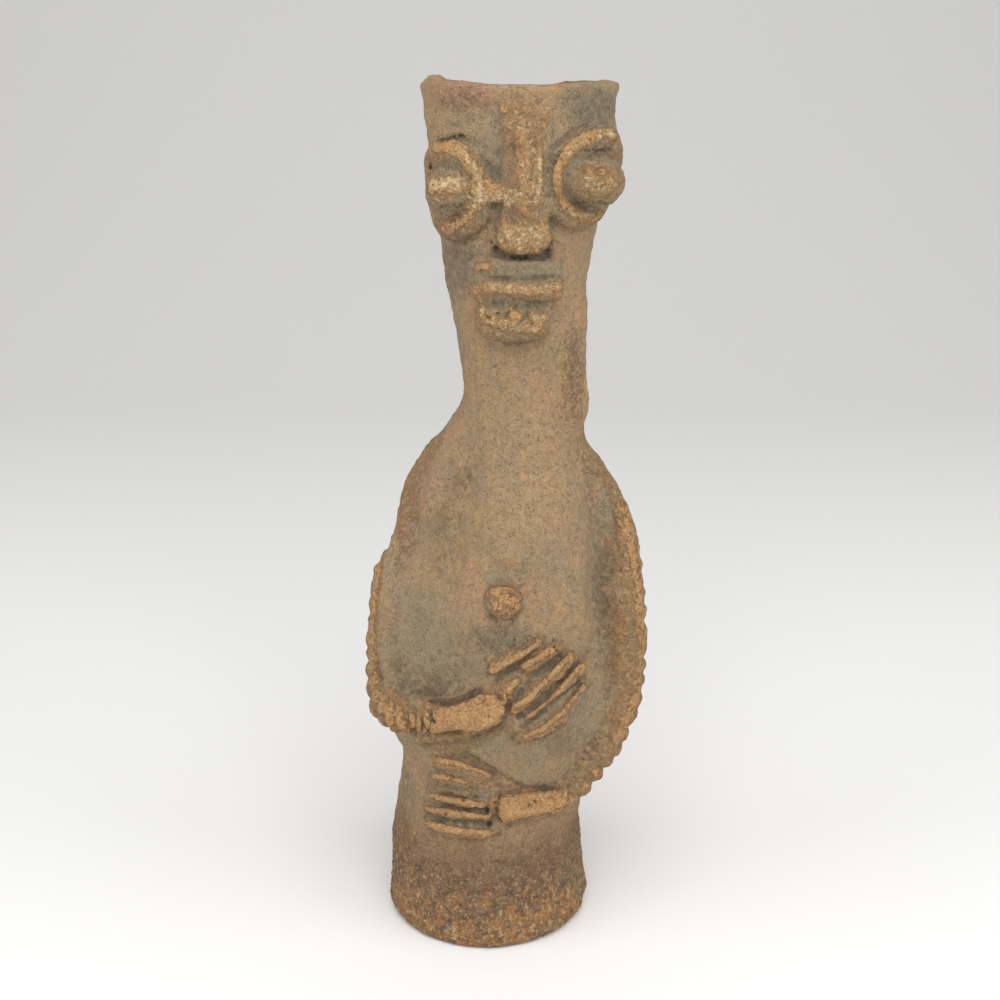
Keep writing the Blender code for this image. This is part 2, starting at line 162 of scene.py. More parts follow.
# The rim's waves: angle, which is 0 at the figure's left, 90 at its back and 270 at its front, and height.
RIM_WAVES = (
    (0, -0.5),
    (60, -1.5),
    (90, -6),
    (125, -1),
    (180, -0.5),
    (192, 1),
    (205, 4.5),
    (220, 2.2),
    (240, 1.5),
    (270, 0.2),
    (300, 1.2),
    (320, 1.5),
    (360, -0.5),
)
WAVES_FADE = 64  # how far below the rim its waves die out, in parts

# The arms, from the shoulder to the wrist: angle, height, width of the notched edge and of the inner side,
# rise, and how far over the crest the notches reach, from 0 to 1.
RIGHT_ARM = (
    (178, 310, 3, 14, 1.2, 0.0),
    (181, 288, 7, 19, 4, 0.0),
    (183, 258, 6.5, 21, 9, 0.0),
    (185, 223, 9.5, 20, 7.7, 0.2),
    (186, 188, 10.5, 17, 8.5, 0.4),
    (189, 163, 11, 13, 9, 0.7),
    (199, 152, 11.5, 12, 9.5, 1),
    (212, 151, 11.5, 12, 10, 1),
    (227, 152, 11.5, 11.5, 10, 1),
    (242, 157, 11.5, 11.5, 10, 1),
    (257, 165, 11, 11, 9.5, 1),
    (270, 172, 10, 10, 8, 1),
)
LEFT_ARM = (
    (2, 313, 3, 15, 1.2, 0.0),
    (-5, 292, 7, 21, 5, 0.0),
    (-12, 262, 9.5, 28, 9, 0.0),
    (-17, 226, 8.5, 30, 10.5, 0.0),
    (-20, 188, 11, 29, 10.5, 0.1),
    (-22, 160, 11, 26, 11.5, 0.3),
    (-26, 136, 11, 19, 12.5, 0.6),
    (-32, 116, 11.5, 14, 14, 1),
    (-44, 102, 10.5, 12, 12.5, 1),
    (-62, 97, 9.5, 9.5, 10, 1),
    (-76, 96.5, 10.5, 10.5, 9, 1),
    (-88, 97, 11.5, 11.5, 8, 1),
)
NOTCH_PITCH = 10.0
NOTCH_START = 40.0
RIGHT_NOTCH_END = 220.0
LEFT_NOTCH_END = 240.0
NOTCH_FADE_FROM = 0.25  # depth of the first notch, as a share
NOTCH_DRIFT, NOTCH_DRIFT_RATE = 0.35, 0.37  # how far the hand strays from an even spacing, and how often
NOTCH_DEPTH_MEAN, NOTCH_DEPTH_CHANGE, NOTCH_DEPTH_RATE = 0.8, 0.3, 0.61  # how the notches differ in depth
NOTCH_SPREAD = 1.4  # how soon a notch is fully deep from the crest to the edge
ARM_END_ROUND = 8

# The fingers: the root's, the middle's and the tip's place, each sideways and up, and half the thickness.
RIGHT_FINGERS = (
    ((3, 190), (17, 200), (32, 208), 3.8),
    ((21, 190), (32, 198), (44, 205), 5.6),
    ((14, 167), (33, 184), (49, 197), 5.4),
    ((21, 163), (38, 176), (54, 189), 4.4),
    ((16, 150), (40, 160), (55, 176), 4.8),
    ((13, 172), (13.5, 182), (20, 187), 2.5),
)
LEFT_FINGERS = (
    ((5, 122), (-11, 126), (-29, 128), 5.5),
    ((-4, 117), (-17, 118), (-31, 116), 5.0),
    ((-5, 111), (-18, 110), (-33, 106), 4.6),
    ((2, 101), (-17, 101), (-34, 98), 4.6),
    ((4, 92), (-17, 92), (-36.5, 88), 4.2),
    ((4, 80), (-19, 80), (-36, 80), 4.2),
)
FINGER_RISE = 6.0
FINGER_SINK = 3.0
FINGER_STEP = 1.5
FINGER_TAPER = 0.8

# Palms, eye rings, eyeballs and navel: sideways place, height, half width, half height and, but for the
# rings, rise.
RIGHT_PALM = (28, 176, 27, 25, 3.2)
LEFT_PALM = (-15, 104, 25, 27, 4.2)
EYE_RINGS = {"right": (-17.6, 450.5, 18.6, 20), "left": (57, 456.5, 21, 20)}
EYE_BALLS = {"right": (-17, 450.5, 15, 12.5, 12.5), "left": (57, 456, 17.5, 13, 16.5)}
EYE_RING_HALF_WIDTH = 7.6
EYE_RING_RISE = 5.2
EYE_RING_SINK = SINK * 0.8
EYE_RING_INSIDE = 0.9  # where the ring's inner side is looked up, as a share of its size

# Rolls on the face, each row with sideways place, height, half width and rise
EYE_CORNER = ((-3, 451, 9, 5), (4, 450.5, 8, 5.5), (10, 449, 5.5, 5.5), (17, 447, 2.6, 5))
NOSE = (
    (21.5, 497, 13, 1.0),
    (21.5, 485, 14, 4.2),
    (22, 462, 12.5, 6.8),
    (22, 447, 12, 7.4),
    (21.8, 439, 12.5, 8),
    (21.4, 431, 14.5, 12.5),
    (21.3, 425, 14.5, 13),
    (21.3, 418, 11, 9),
)
LIPS_PAD = ((-5.5, 403.8, 12.2, 9.2), (17, 405, 13.2, 10.4), (40, 404, 12.2, 9.4))
CHIN_PAD = ((-3, 390, 13, 7.4), (16, 389, 14, 8.4), (35, 390, 13, 7.4))
UPPER_LIP = ((-4.5, 409.4, 6.5, 9.4), (17, 411.4, 7, 10.4), (39.5, 409.6, 6.5, 9.6))
LOWER_LIP = ((-5, 398.2, 5, 10), (17, 399.2, 5.4, 11.4), (40, 398.6, 5, 10))
CHIN = ((-2, 384, 10.5, 9), (16, 382.5, 12, 10.5), (34, 384, 10.5, 9))
FACE_SQUARENESS = 3.0
FACE_STEP = 1.5
FACE_END_ROUND = 4
EYE_CORNER_ROUND = 2
NAVEL = (11, 229, 10.5, 9.5, 9)

STROKE_FADE = 0.22  # share of a stroke's length over which its end dies out
STROKE_END = 0.15  # share of its depth that a stroke keeps at its very ends
PATH_STEP = 4  # distance between the points of a path, in pixels

# Marks carved into the fused clay, each along a path through places of the photograph's picture. It is
# pressed in, or raised where its depth is below zero: name, half width, depth and path.
FACE_MARKS = (
    ("mouth groove", 2.6, 1.7, ((480, 277), (500, 279), (525, 280), (559, 277))),
    ("groove under the lower lip", 2.6, 1.4, ((484, 297), (505, 299), (530, 301), (549, 302))),
    ("lower lip's crest", 3.0, -1.0, ((482, 288), (505, 289), (530, 291), (556, 288))),
    ("upper lip's worn corner", 2.8, -0.7, ((478, 267), (486, 266))),
    ("chin's long split", 1.7, 1.4, ((519, 302), (512, 310), (502, 320))),
    ("chin's right hollow", 4.6, 1.0, ((490, 303), (500, 303), (507, 305))),
    ("chin's left hollow", 4.6, 1.1, ((524, 306), (534, 307), (543, 308))),
    ("chin's right edge", 3.0, -1.0, ((480, 301), (482, 312), (487, 321), (500, 325))),
    ("chin's lower edge", 3.4, -0.9, ((508, 322), (522, 328), (536, 330), (543, 318))),
    ("chin's middle crumb", 3.6, -1.5, ((511, 312), (516, 316), (520, 322))),
    ("chin's right crumb", 2.6, -1.3, ((489, 312), (495, 318))),
    ("chin's left crumb", 2.8, -1.2, ((531, 316), (538, 322))),
    ("chin's cross gap", 1.5, 1.6, ((484, 319), (493, 316), (501, 312))),
    ("chin's lower gap", 1.6, 1.5, ((516, 326), (524, 318), (530, 311))),
    ("nose's crest", 6.5, -1.3, ((520, 122), (524, 150), (525, 180), (524, 203))),
    ("nose's right dent", 2.0, 0.7, ((511, 146), (513, 152))),
    ("nose's left dent", 2.0, 0.7, ((532, 172), (531, 179))),
    ("nose's lower dent", 2.4, 0.9, ((515, 190), (518, 198))),
    ("nose tip's right lump", 4.4, -0.9, ((506, 232), (510, 238))),
    ("nose tip's left lump", 4.2, -0.8, ((536, 232), (540, 240))),
    ("right nostril", 1.9, 2.6, ((496, 249), (497, 251))),
    ("right nostril's upper pit", 1.3, 1.6, ((491, 242), (492, 243))),
    ("left nostril", 1.9, 2.4, ((548, 252), (547, 255))),
    ("left nostril's upper pit", 1.3, 1.4, ((552, 244), (551, 246))),
    ("fold under the nose", 2.6, 1.2, ((494, 255), (508, 258), (530, 258), (549, 258))),
    ("nose's bump", 3.0, -1.3, ((524, 212), (527, 214))),
    ("dip over the nose's tip", 3.4, 0.9, ((508, 214), (512, 220))),
    ("nose's left ridge", 2.4, -0.8, ((539, 150), (540, 175), (537, 201))),
    ("groove over the right ring", 3.0, 1.0, ((436, 141), (450, 137), (466, 138), (480, 146))),
    ("groove over the inner corner", 4.0, 0.4, ((486, 160), (492, 170), (502, 178))),
    ("groove under the inner corner", 4.0, 0.4, ((480, 214), (490, 208), (502, 206))),
    ("groove left of the nose", 4.5, 1.0, ((551, 126), (549, 150), (548, 175), (549, 205))),
    ("groove right of the nose", 5.0, 0.6, ((497, 120), (497, 150), (500, 168))),
    ("groove beside the left ring", 3.4, 0.9, ((556, 150), (550, 172), (553, 198), (562, 216))),
    ("brow crease", 1.6, 0.9, ((448, 126), (455, 125), (462, 126))),
    ("brow lump", 3.0, -0.8, ((503, 108), (505, 109), (507, 109))),
    ("left eye's tip", 3.0, -1.0, ((599, 171), (602, 171))),
    ("crease over the left ring", 2.8, 0.9, ((556, 146), (566, 136), (580, 127), (596, 124))),
)
HAND_MARKS = (
    ("thumb's crest", 2.6, -1.4, ((489, 673), (512, 660), (541, 643))),
    ("under the thumb", 3.4, 1.4, ((494, 680), (505, 673), (520, 665))),
    ("hole by the thumb", 2.4, 2.0, ((496, 681), (500, 679))),
    ("second finger's crest", 3.0, -1.2, ((520, 668), (536, 659), (553, 649))),
    ("between second and third", 3.4, 1.4, ((521, 692), (531, 678), (546, 666), (563, 652))),
    ("third finger's crest", 2.8, -1.6, ((513, 709), (530, 698), (545, 682), (570, 654))),
    ("between third and fourth", 2.6, 1.8, ((519, 716), (538, 703), (554, 689), (575, 661))),
    ("fourth finger's crest", 2.4, -1.4, ((528, 716), (546, 702), (562, 686), (580, 665))),
    ("between fourth and fifth", 2.6, 2.2, ((523, 727), (540, 715), (556, 701), (581, 678))),
    ("fifth finger's crest", 2.6, -1.6, ((526, 737), (545, 727), (562, 712), (583, 686))),
    ("stub's crest", 2.4, -1.2, ((507, 694), (512, 686), (519, 679))),
    ("beside the stub", 2.2, 1.4, ((513, 703), (519, 695), (523, 687))),
    ("hole at the palm", 2.0, 2.0, ((519, 718), (521, 717))),
    ("under the fifth", 3.0, 1.4, ((530, 742), (548, 735), (566, 722), (586, 694))),
    ("wrist's fold", 2.4, 1.6, ((508, 692), (509, 704), (506, 716))),
    ("left hand's top edge", 2.6, -1.2, ((438, 759), (465, 765), (494, 775))),
    ("left hand, first gap", 2.6, 0.9, ((432, 768), (455, 772), (482, 780))),
    ("left hand, second crest", 2.6, -1.0, ((430, 775), (452, 778), (480, 783))),
    ("left hand, second gap", 2.6, 0.9, ((432, 783), (455, 787), (484, 790))),
    ("left hand, third gap", 2.4, 1.0, ((436, 793), (458, 795), (488, 798))),
    ("left hand, fourth crest", 2.4, -1.4, ((438, 798), (462, 801), (486, 806))),
    ("left hand, fourth gap", 2.2, 1.7, ((432, 804), (458, 807), (487, 810))),
    ("left hand, fifth crest", 2.4, -1.2, ((427, 809), (458, 813), (490, 817))),
    ("left hand, fifth gap", 2.6, 1.8, ((432, 818), (460, 821), (490, 824))),
    ("left hand, lowest crest", 2.4, -1.4, ((430, 826), (455, 830), (494, 833))),
    ("left hand's tips", 1.8, 1.2, ((426, 815), (427, 821))),
)
BODY_MARKS = (
    ("belly's crease", 3.4, 1.6, ((441, 756), (465, 755), (484, 764), (497, 774), (520, 786), (556, 789))),
    ("pocket, wide", 24.0, 3.4, ((398, 600), (404, 640), (420, 668), (450, 674), (478, 662))),
    ("pocket, deep", 12.0, 2.6, ((392, 655), (402, 680), (420, 688), (445, 684), (470, 674))),
    ("pocket's edge", 3.0, 1.4, ((390, 668), (397, 687), (417, 696), (437, 694), (462, 690), (486, 676))),
    ("pocket's end", 1.8, 2.4, ((402, 692), (410, 695), (418, 696))),
    (
        "arm's inner edge", 7.0, -1.8,
        ((402, 510), (392, 550), (385, 600), (382, 640), (385, 668), (392, 688)),
    ),
    ("beside the arm's inner edge", 9.0, 2.2, ((408, 540), (402, 590), (398, 640), (402, 674), (416, 688))),
    ("chest's right valley", 17.0, 3.4, ((474, 415), (465, 455), (455, 500), (449, 540), (446, 590))),
    (
        "chest's left valley", 14.0, 3.2,
        ((596, 470), (600, 520), (601, 570), (600, 620), (600, 680), (592, 730)),
    ),
    ("chest's left edge", 9.0, -1.4, ((577, 500), (581, 540), (581, 590), (580, 640))),
    ("valley's foot", 20.0, 2.4, ((600, 640), (598, 700), (570, 745), (540, 765))),
    ("over the navel", 9.0, 1.6, ((492, 580), (506, 573), (520, 578), (530, 590))),
    ("round the navel", 5.0, 1.0, ((490, 590), (488, 605), (494, 620), (508, 626), (522, 620))),
    ("forearm's upper edge", 3.4, -1.0, ((434, 712), (461, 706), (487, 695), (500, 700))),
    ("forearm's lower edge", 3.0, -1.0, ((412, 740), (441, 738), (466, 734), (487, 725), (505, 712))),
    ("under the forearm", 2.4, 1.4, ((412, 746), (441, 745), (467, 741), (490, 731), (508, 717))),
    ("lower forearm's upper edge", 3.2, -1.0, ((494, 798), (520, 797), (545, 794), (566, 791))),
    ("lower forearm's lower edge", 2.8, -0.8, ((495, 829), (512, 816), (541, 809), (567, 804))),
    ("under the lower forearm", 2.4, 1.4, ((495, 838), (513, 824), (541, 816), (570, 811))),
    ("gap before the lower bracelet", 1.8, 2.4, ((568, 786), (569, 796), (568, 806))),
    ("bracelet, first gap", 1.3, 1.6, ((431, 702), (430, 720), (429, 741))),
    ("bracelet, second gap", 1.3, 1.4, ((424, 702), (423, 720), (422, 741))),
    ("bracelet, third gap", 1.3, 1.4, ((417, 702), (416, 720), (414, 740))),
    ("bracelet, fourth gap", 1.3, 1.2, ((410, 702), (409, 720), (406, 738))),
)

# Unevenness of the hand-made skin: name, size of the noise, strength and vertex group.
UNEVENNESS = (
    ("hand-made waves", 0.032, 0.0032, "outside"),
    ("lumps", 0.010, 0.0020, "outside"),
    ("grit", 0.0030, 0.0009, "outside"),
    ("crumbling", 0.0034, 0.0036, "laid_on"),
    ("foot's crust", 0.0070, 0.0024, "foot_skin"),
)

# Thin lines left by wiping the wet clay, in rows like the marks' above
WIPES = (
    ("waist, upper", 1.8, 0.35, ((505, 842), (530, 838), (575, 832))),
    ("waist, middle", 1.8, 0.4, ((490, 852), (520, 850), (575, 843))),
    ("waist, lower", 1.8, 0.35, ((470, 862), (510, 862), (560, 856))),
    ("waist, low right", 1.8, 0.3, ((480, 869), (512, 868), (540, 866))),
    ("foot, long", 1.8, 0.35, ((505, 876), (530, 872), (552, 870))),
    ("neck, left", 2.2, 0.5, ((573, 300), (577, 340), (579, 385))),
    ("neck, far left", 2.2, 0.5, ((583, 320), (584, 360), (585, 400))),
)

# Rows of small pits, where the laid-on clay was pressed down: name, first place, last place, how many,
# size and depth.
PIT_ROWS = (
    ("over the right ring", (437, 140), (465, 136), 9, 0.9, 1.3),
    ("right ring's outer side", (431, 163), (430, 170), 3, 1.0, 1.5),
    ("under the right eyeball", (441, 207), (462, 206), 8, 0.8, 1.1),
    ("over the left eyeball", (585, 151), (613, 150), 9, 0.8, 1.2),
    ("under the left eyeball", (576, 202), (607, 203), 10, 0.8, 1.1),
    ("under the nose", (511, 257), (528, 258), 6, 0.9, 1.7),
    ("left nostril", (538, 256), (545, 257), 3, 0.8, 1.2),
    ("left ring's inner side", (560, 150), (553, 165), 5, 0.8, 1.0),
    ("over the right hand", (508, 640), (560, 640), 4, 0.7, 0.8),
    ("between thumb and second finger", (553, 645), (561, 657), 4, 0.8, 1.0),
    ("left hand's fourth gap", (486, 810), (488, 811), 1, 1.5, 2.2),
    ("left hand's fifth finger", (445, 814), (446, 815), 1, 1.3, 1.8),
    ("left hand's fifth gap", (489, 824), (490, 824), 1, 1.6, 2.2),
    ("bracelet", (433, 719), (434, 722), 2, 1.0, 1.5),
    ("left wrist", (494, 800), (500, 820), 4, 0.8, 1.0),
)
PIT_SIZE, PIT_SIZE_CHANGE, PIT_SIZE_RATE = 1.7, 0.4, 3.1  # how the pits of a row differ in size
PIT_STRAY_RATE = 2.4  # how often a row's pits stray up and down by a pixel
PIT_DEPTH = 1.3  # factor on every pit's depth

# How worn each kind of laid-on clay is, from 0 to 1, by the start of its name.
WEAR = {
    "right_arm": 0.52,
    "left_arm": 0.52,
    "right_finger": 0.52,
    "left_finger": 0.46,
    "right_palm": 0.20,
    "left_palm": 0.30,
    "right_eye_ring": 0.36,
    "left_eye_ring": 0.34,
    "right_eye_ball": 0.30,
    "left_eye_ball": 0.30,
    "eye_corner": 0.4,
    "nose": 0.40,
    "upper_lip": 0.05,
    "lower_lip": 0.45,
    "lips_pad": 0.15,
    "chin": 0.36,
    "navel": 0.62,
}
WEAR_REACH = 0.0016
CLEARANCE = 0.00004  # how far the finished surface stays inside the solid's box

# Stains and painted shade, as soft ellipses in the photograph's picture: name, across, down, half width,
# half height and strength. Some grey and dark ones are painted shade: on the sides of the face and neck,
# in the hollows and valleys beside the chest, over the navel, and under the belly and along the forearms.
STAINS = {
    "worn": (
        ("right forearm", 470, 722, 42, 20, 0.7),
        ("left forearm", 532, 805, 40, 14, 0.7),
        ("forehead, right", 462, 100, 34, 13, 0.25),
        ("nose's root", 520, 120, 20, 14, 0.35),
        ("neck, left side", 572, 380, 14, 60, 0.42),
        ("right upper arm", 372, 600, 10, 70, 0.35),
        ("left upper arm", 630, 560, 12, 60, 0.30),
        ("over the left elbow", 622, 650, 22, 30, 0.35),
        ("neck's root", 520, 420, 30, 60, 0.14),
        ("under the right forearm", 450, 745, 40, 7, 0.5),
        ("left hand", 455, 805, 34, 26, 0.30),
        ("navel", 505, 605, 12, 12, 0.4),
    ),
    "grey": (
        # painted shade and grey dirt in the pocket beside the right arm
        ("hollow beside the right arm", 428, 640, 40, 52, 0.62),
        ("hollow over the right forearm", 450, 676, 38, 16, 0.40),
        ("hollow's upper end", 405, 560, 16, 40, 0.35),
        # painted shade and grey dirt in the valley beside the left arm
        ("hollow beside the left arm", 596, 600, 9, 90, 0.60),
        ("hollow beside the left elbow", 585, 710, 26, 40, 0.55),
        ("between the forearms", 545, 765, 50, 22, 0.40),
        # painted shadow over the navel
        ("over the navel", 505, 575, 24, 9, 0.55),
        ("under the navel", 505, 642, 30, 18, 0.75),
        # painted shade on the forehead's left side
        ("forehead, left", 592, 108, 36, 26, 0.85),
        ("over the right hand", 500, 640, 60, 20, 0.45),
        ("forehead, right", 462, 108, 34, 20, 0.35),
        # painted shade on the right cheek
        ("right cheek", 455, 266, 26, 48, 0.60),
        ("left cheek", 590, 240, 16, 30, 0.40),
        ("between the right hand's fingers", 520, 690, 18, 20, 0.45),
        ("over the right ring", 470, 135, 14, 12, 0.40),
        ("right brow", 478, 118, 18, 10, 0.35),
        ("beside the nose, left", 548, 150, 8, 30, 0.40),
        ("beside the nose's tip, right", 492, 230, 14, 24, 0.30),
        ("over the upper lip", 520, 268, 28, 5, 0.45),
        ("under the nose", 522, 257, 26, 5, 0.60),
        ("under the lower lip", 510, 304, 24, 5, 0.50),
        ("left hand's tips", 445, 815, 16, 12, 0.35),
        ("left hand's root", 480, 822, 14, 6, 0.45),
        # painted shade and grey dirt in the crease under the belly, over the left hand
        ("over the left hand", 462, 750, 26, 9, 0.50),
        ("waist, right side", 405, 800, 8, 50, 0.30),
        ("foot, left side", 575, 880, 10, 50, 0.35),
        ("beside the nose's tip, left", 560, 240, 12, 30, 0.20),
        ("under the left ring", 600, 210, 20, 8, 0.25),
        # painted shade and grey dirt in the valley beside the right shoulder
        ("beside the right shoulder", 468, 440, 10, 26, 0.20),
    ),
    "red": (
        ("right shoulder", 424, 500, 18, 34, 0.34),
        ("right shoulder's top", 440, 452, 20, 20, 0.22),
        ("belly, right of the navel", 466, 610, 30, 34, 0.25),
        ("left elbow", 632, 700, 18, 34, 0.45),
        ("under the left elbow", 610, 745, 20, 18, 0.40),
        ("chest, over the navel", 540, 545, 34, 30, 0.28),
        ("forehead, right", 466, 96, 36, 18, 0.85),
        ("forehead, left", 580, 96, 26, 14, 0.40),
        ("right cheek", 455, 240, 10, 40, 0.35),
        ("forehead, middle", 545, 105, 24, 8, 0.35),
        ("nose", 520, 150, 12, 40, 0.30),
        ("waist, right side", 395, 830, 8, 40, 0.25),
        ("left upper arm", 620, 620, 14, 30, 0.30),
        ("over the right hand", 480, 655, 24, 14, 0.40),
        ("belly's foot", 560, 752, 34, 14, 0.45),
        ("waist under the left hand", 450, 855, 50, 12, 0.40),
    ),
    "dark": (
        # painted shade on the neck's left side
        ("neck, left side", 576, 372, 11, 56, 0.38),
        # painted shade on the right cheek
        ("right cheek", 455, 262, 24, 46, 0.46),
        ("forehead, right", 466, 100, 34, 18, 0.40),
        ("under the navel", 500, 638, 46, 18, 0.50),
        # painted shade at the pocket's foot, over the right forearm
        ("hollow over the right forearm", 420, 678, 44, 16, 0.40),
        # painted shade on the belly's underside
        ("belly's foot", 572, 742, 36, 22, 0.42),
        ("waist, right side", 406, 800, 12, 50, 0.42),
        ("over the upper lip", 522, 268, 34, 6, 0.42),
        # painted shade on the forehead's left side
        ("forehead, left", 590, 108, 34, 26, 0.48),
        # painted shadow along the right forearm's upper edge
        ("right forearm's upper edge", 448, 702, 14, 4, 0.55),
        # painted shade in the crease under the belly, over the left forearm and at the left wrist
        ("over the left forearm", 530, 786, 26, 6, 0.50),
        ("left wrist", 513, 787, 14, 5, 0.45),
        ("over the nose's tip", 520, 205, 14, 14, 0.30),
        ("left eyeball's tip", 599, 171, 5, 5, 0.55),
        ("under the right wrist", 505, 735, 18, 8, 0.30),
        ("over the left ring", 575, 130, 20, 6, 0.25),
    ),
}
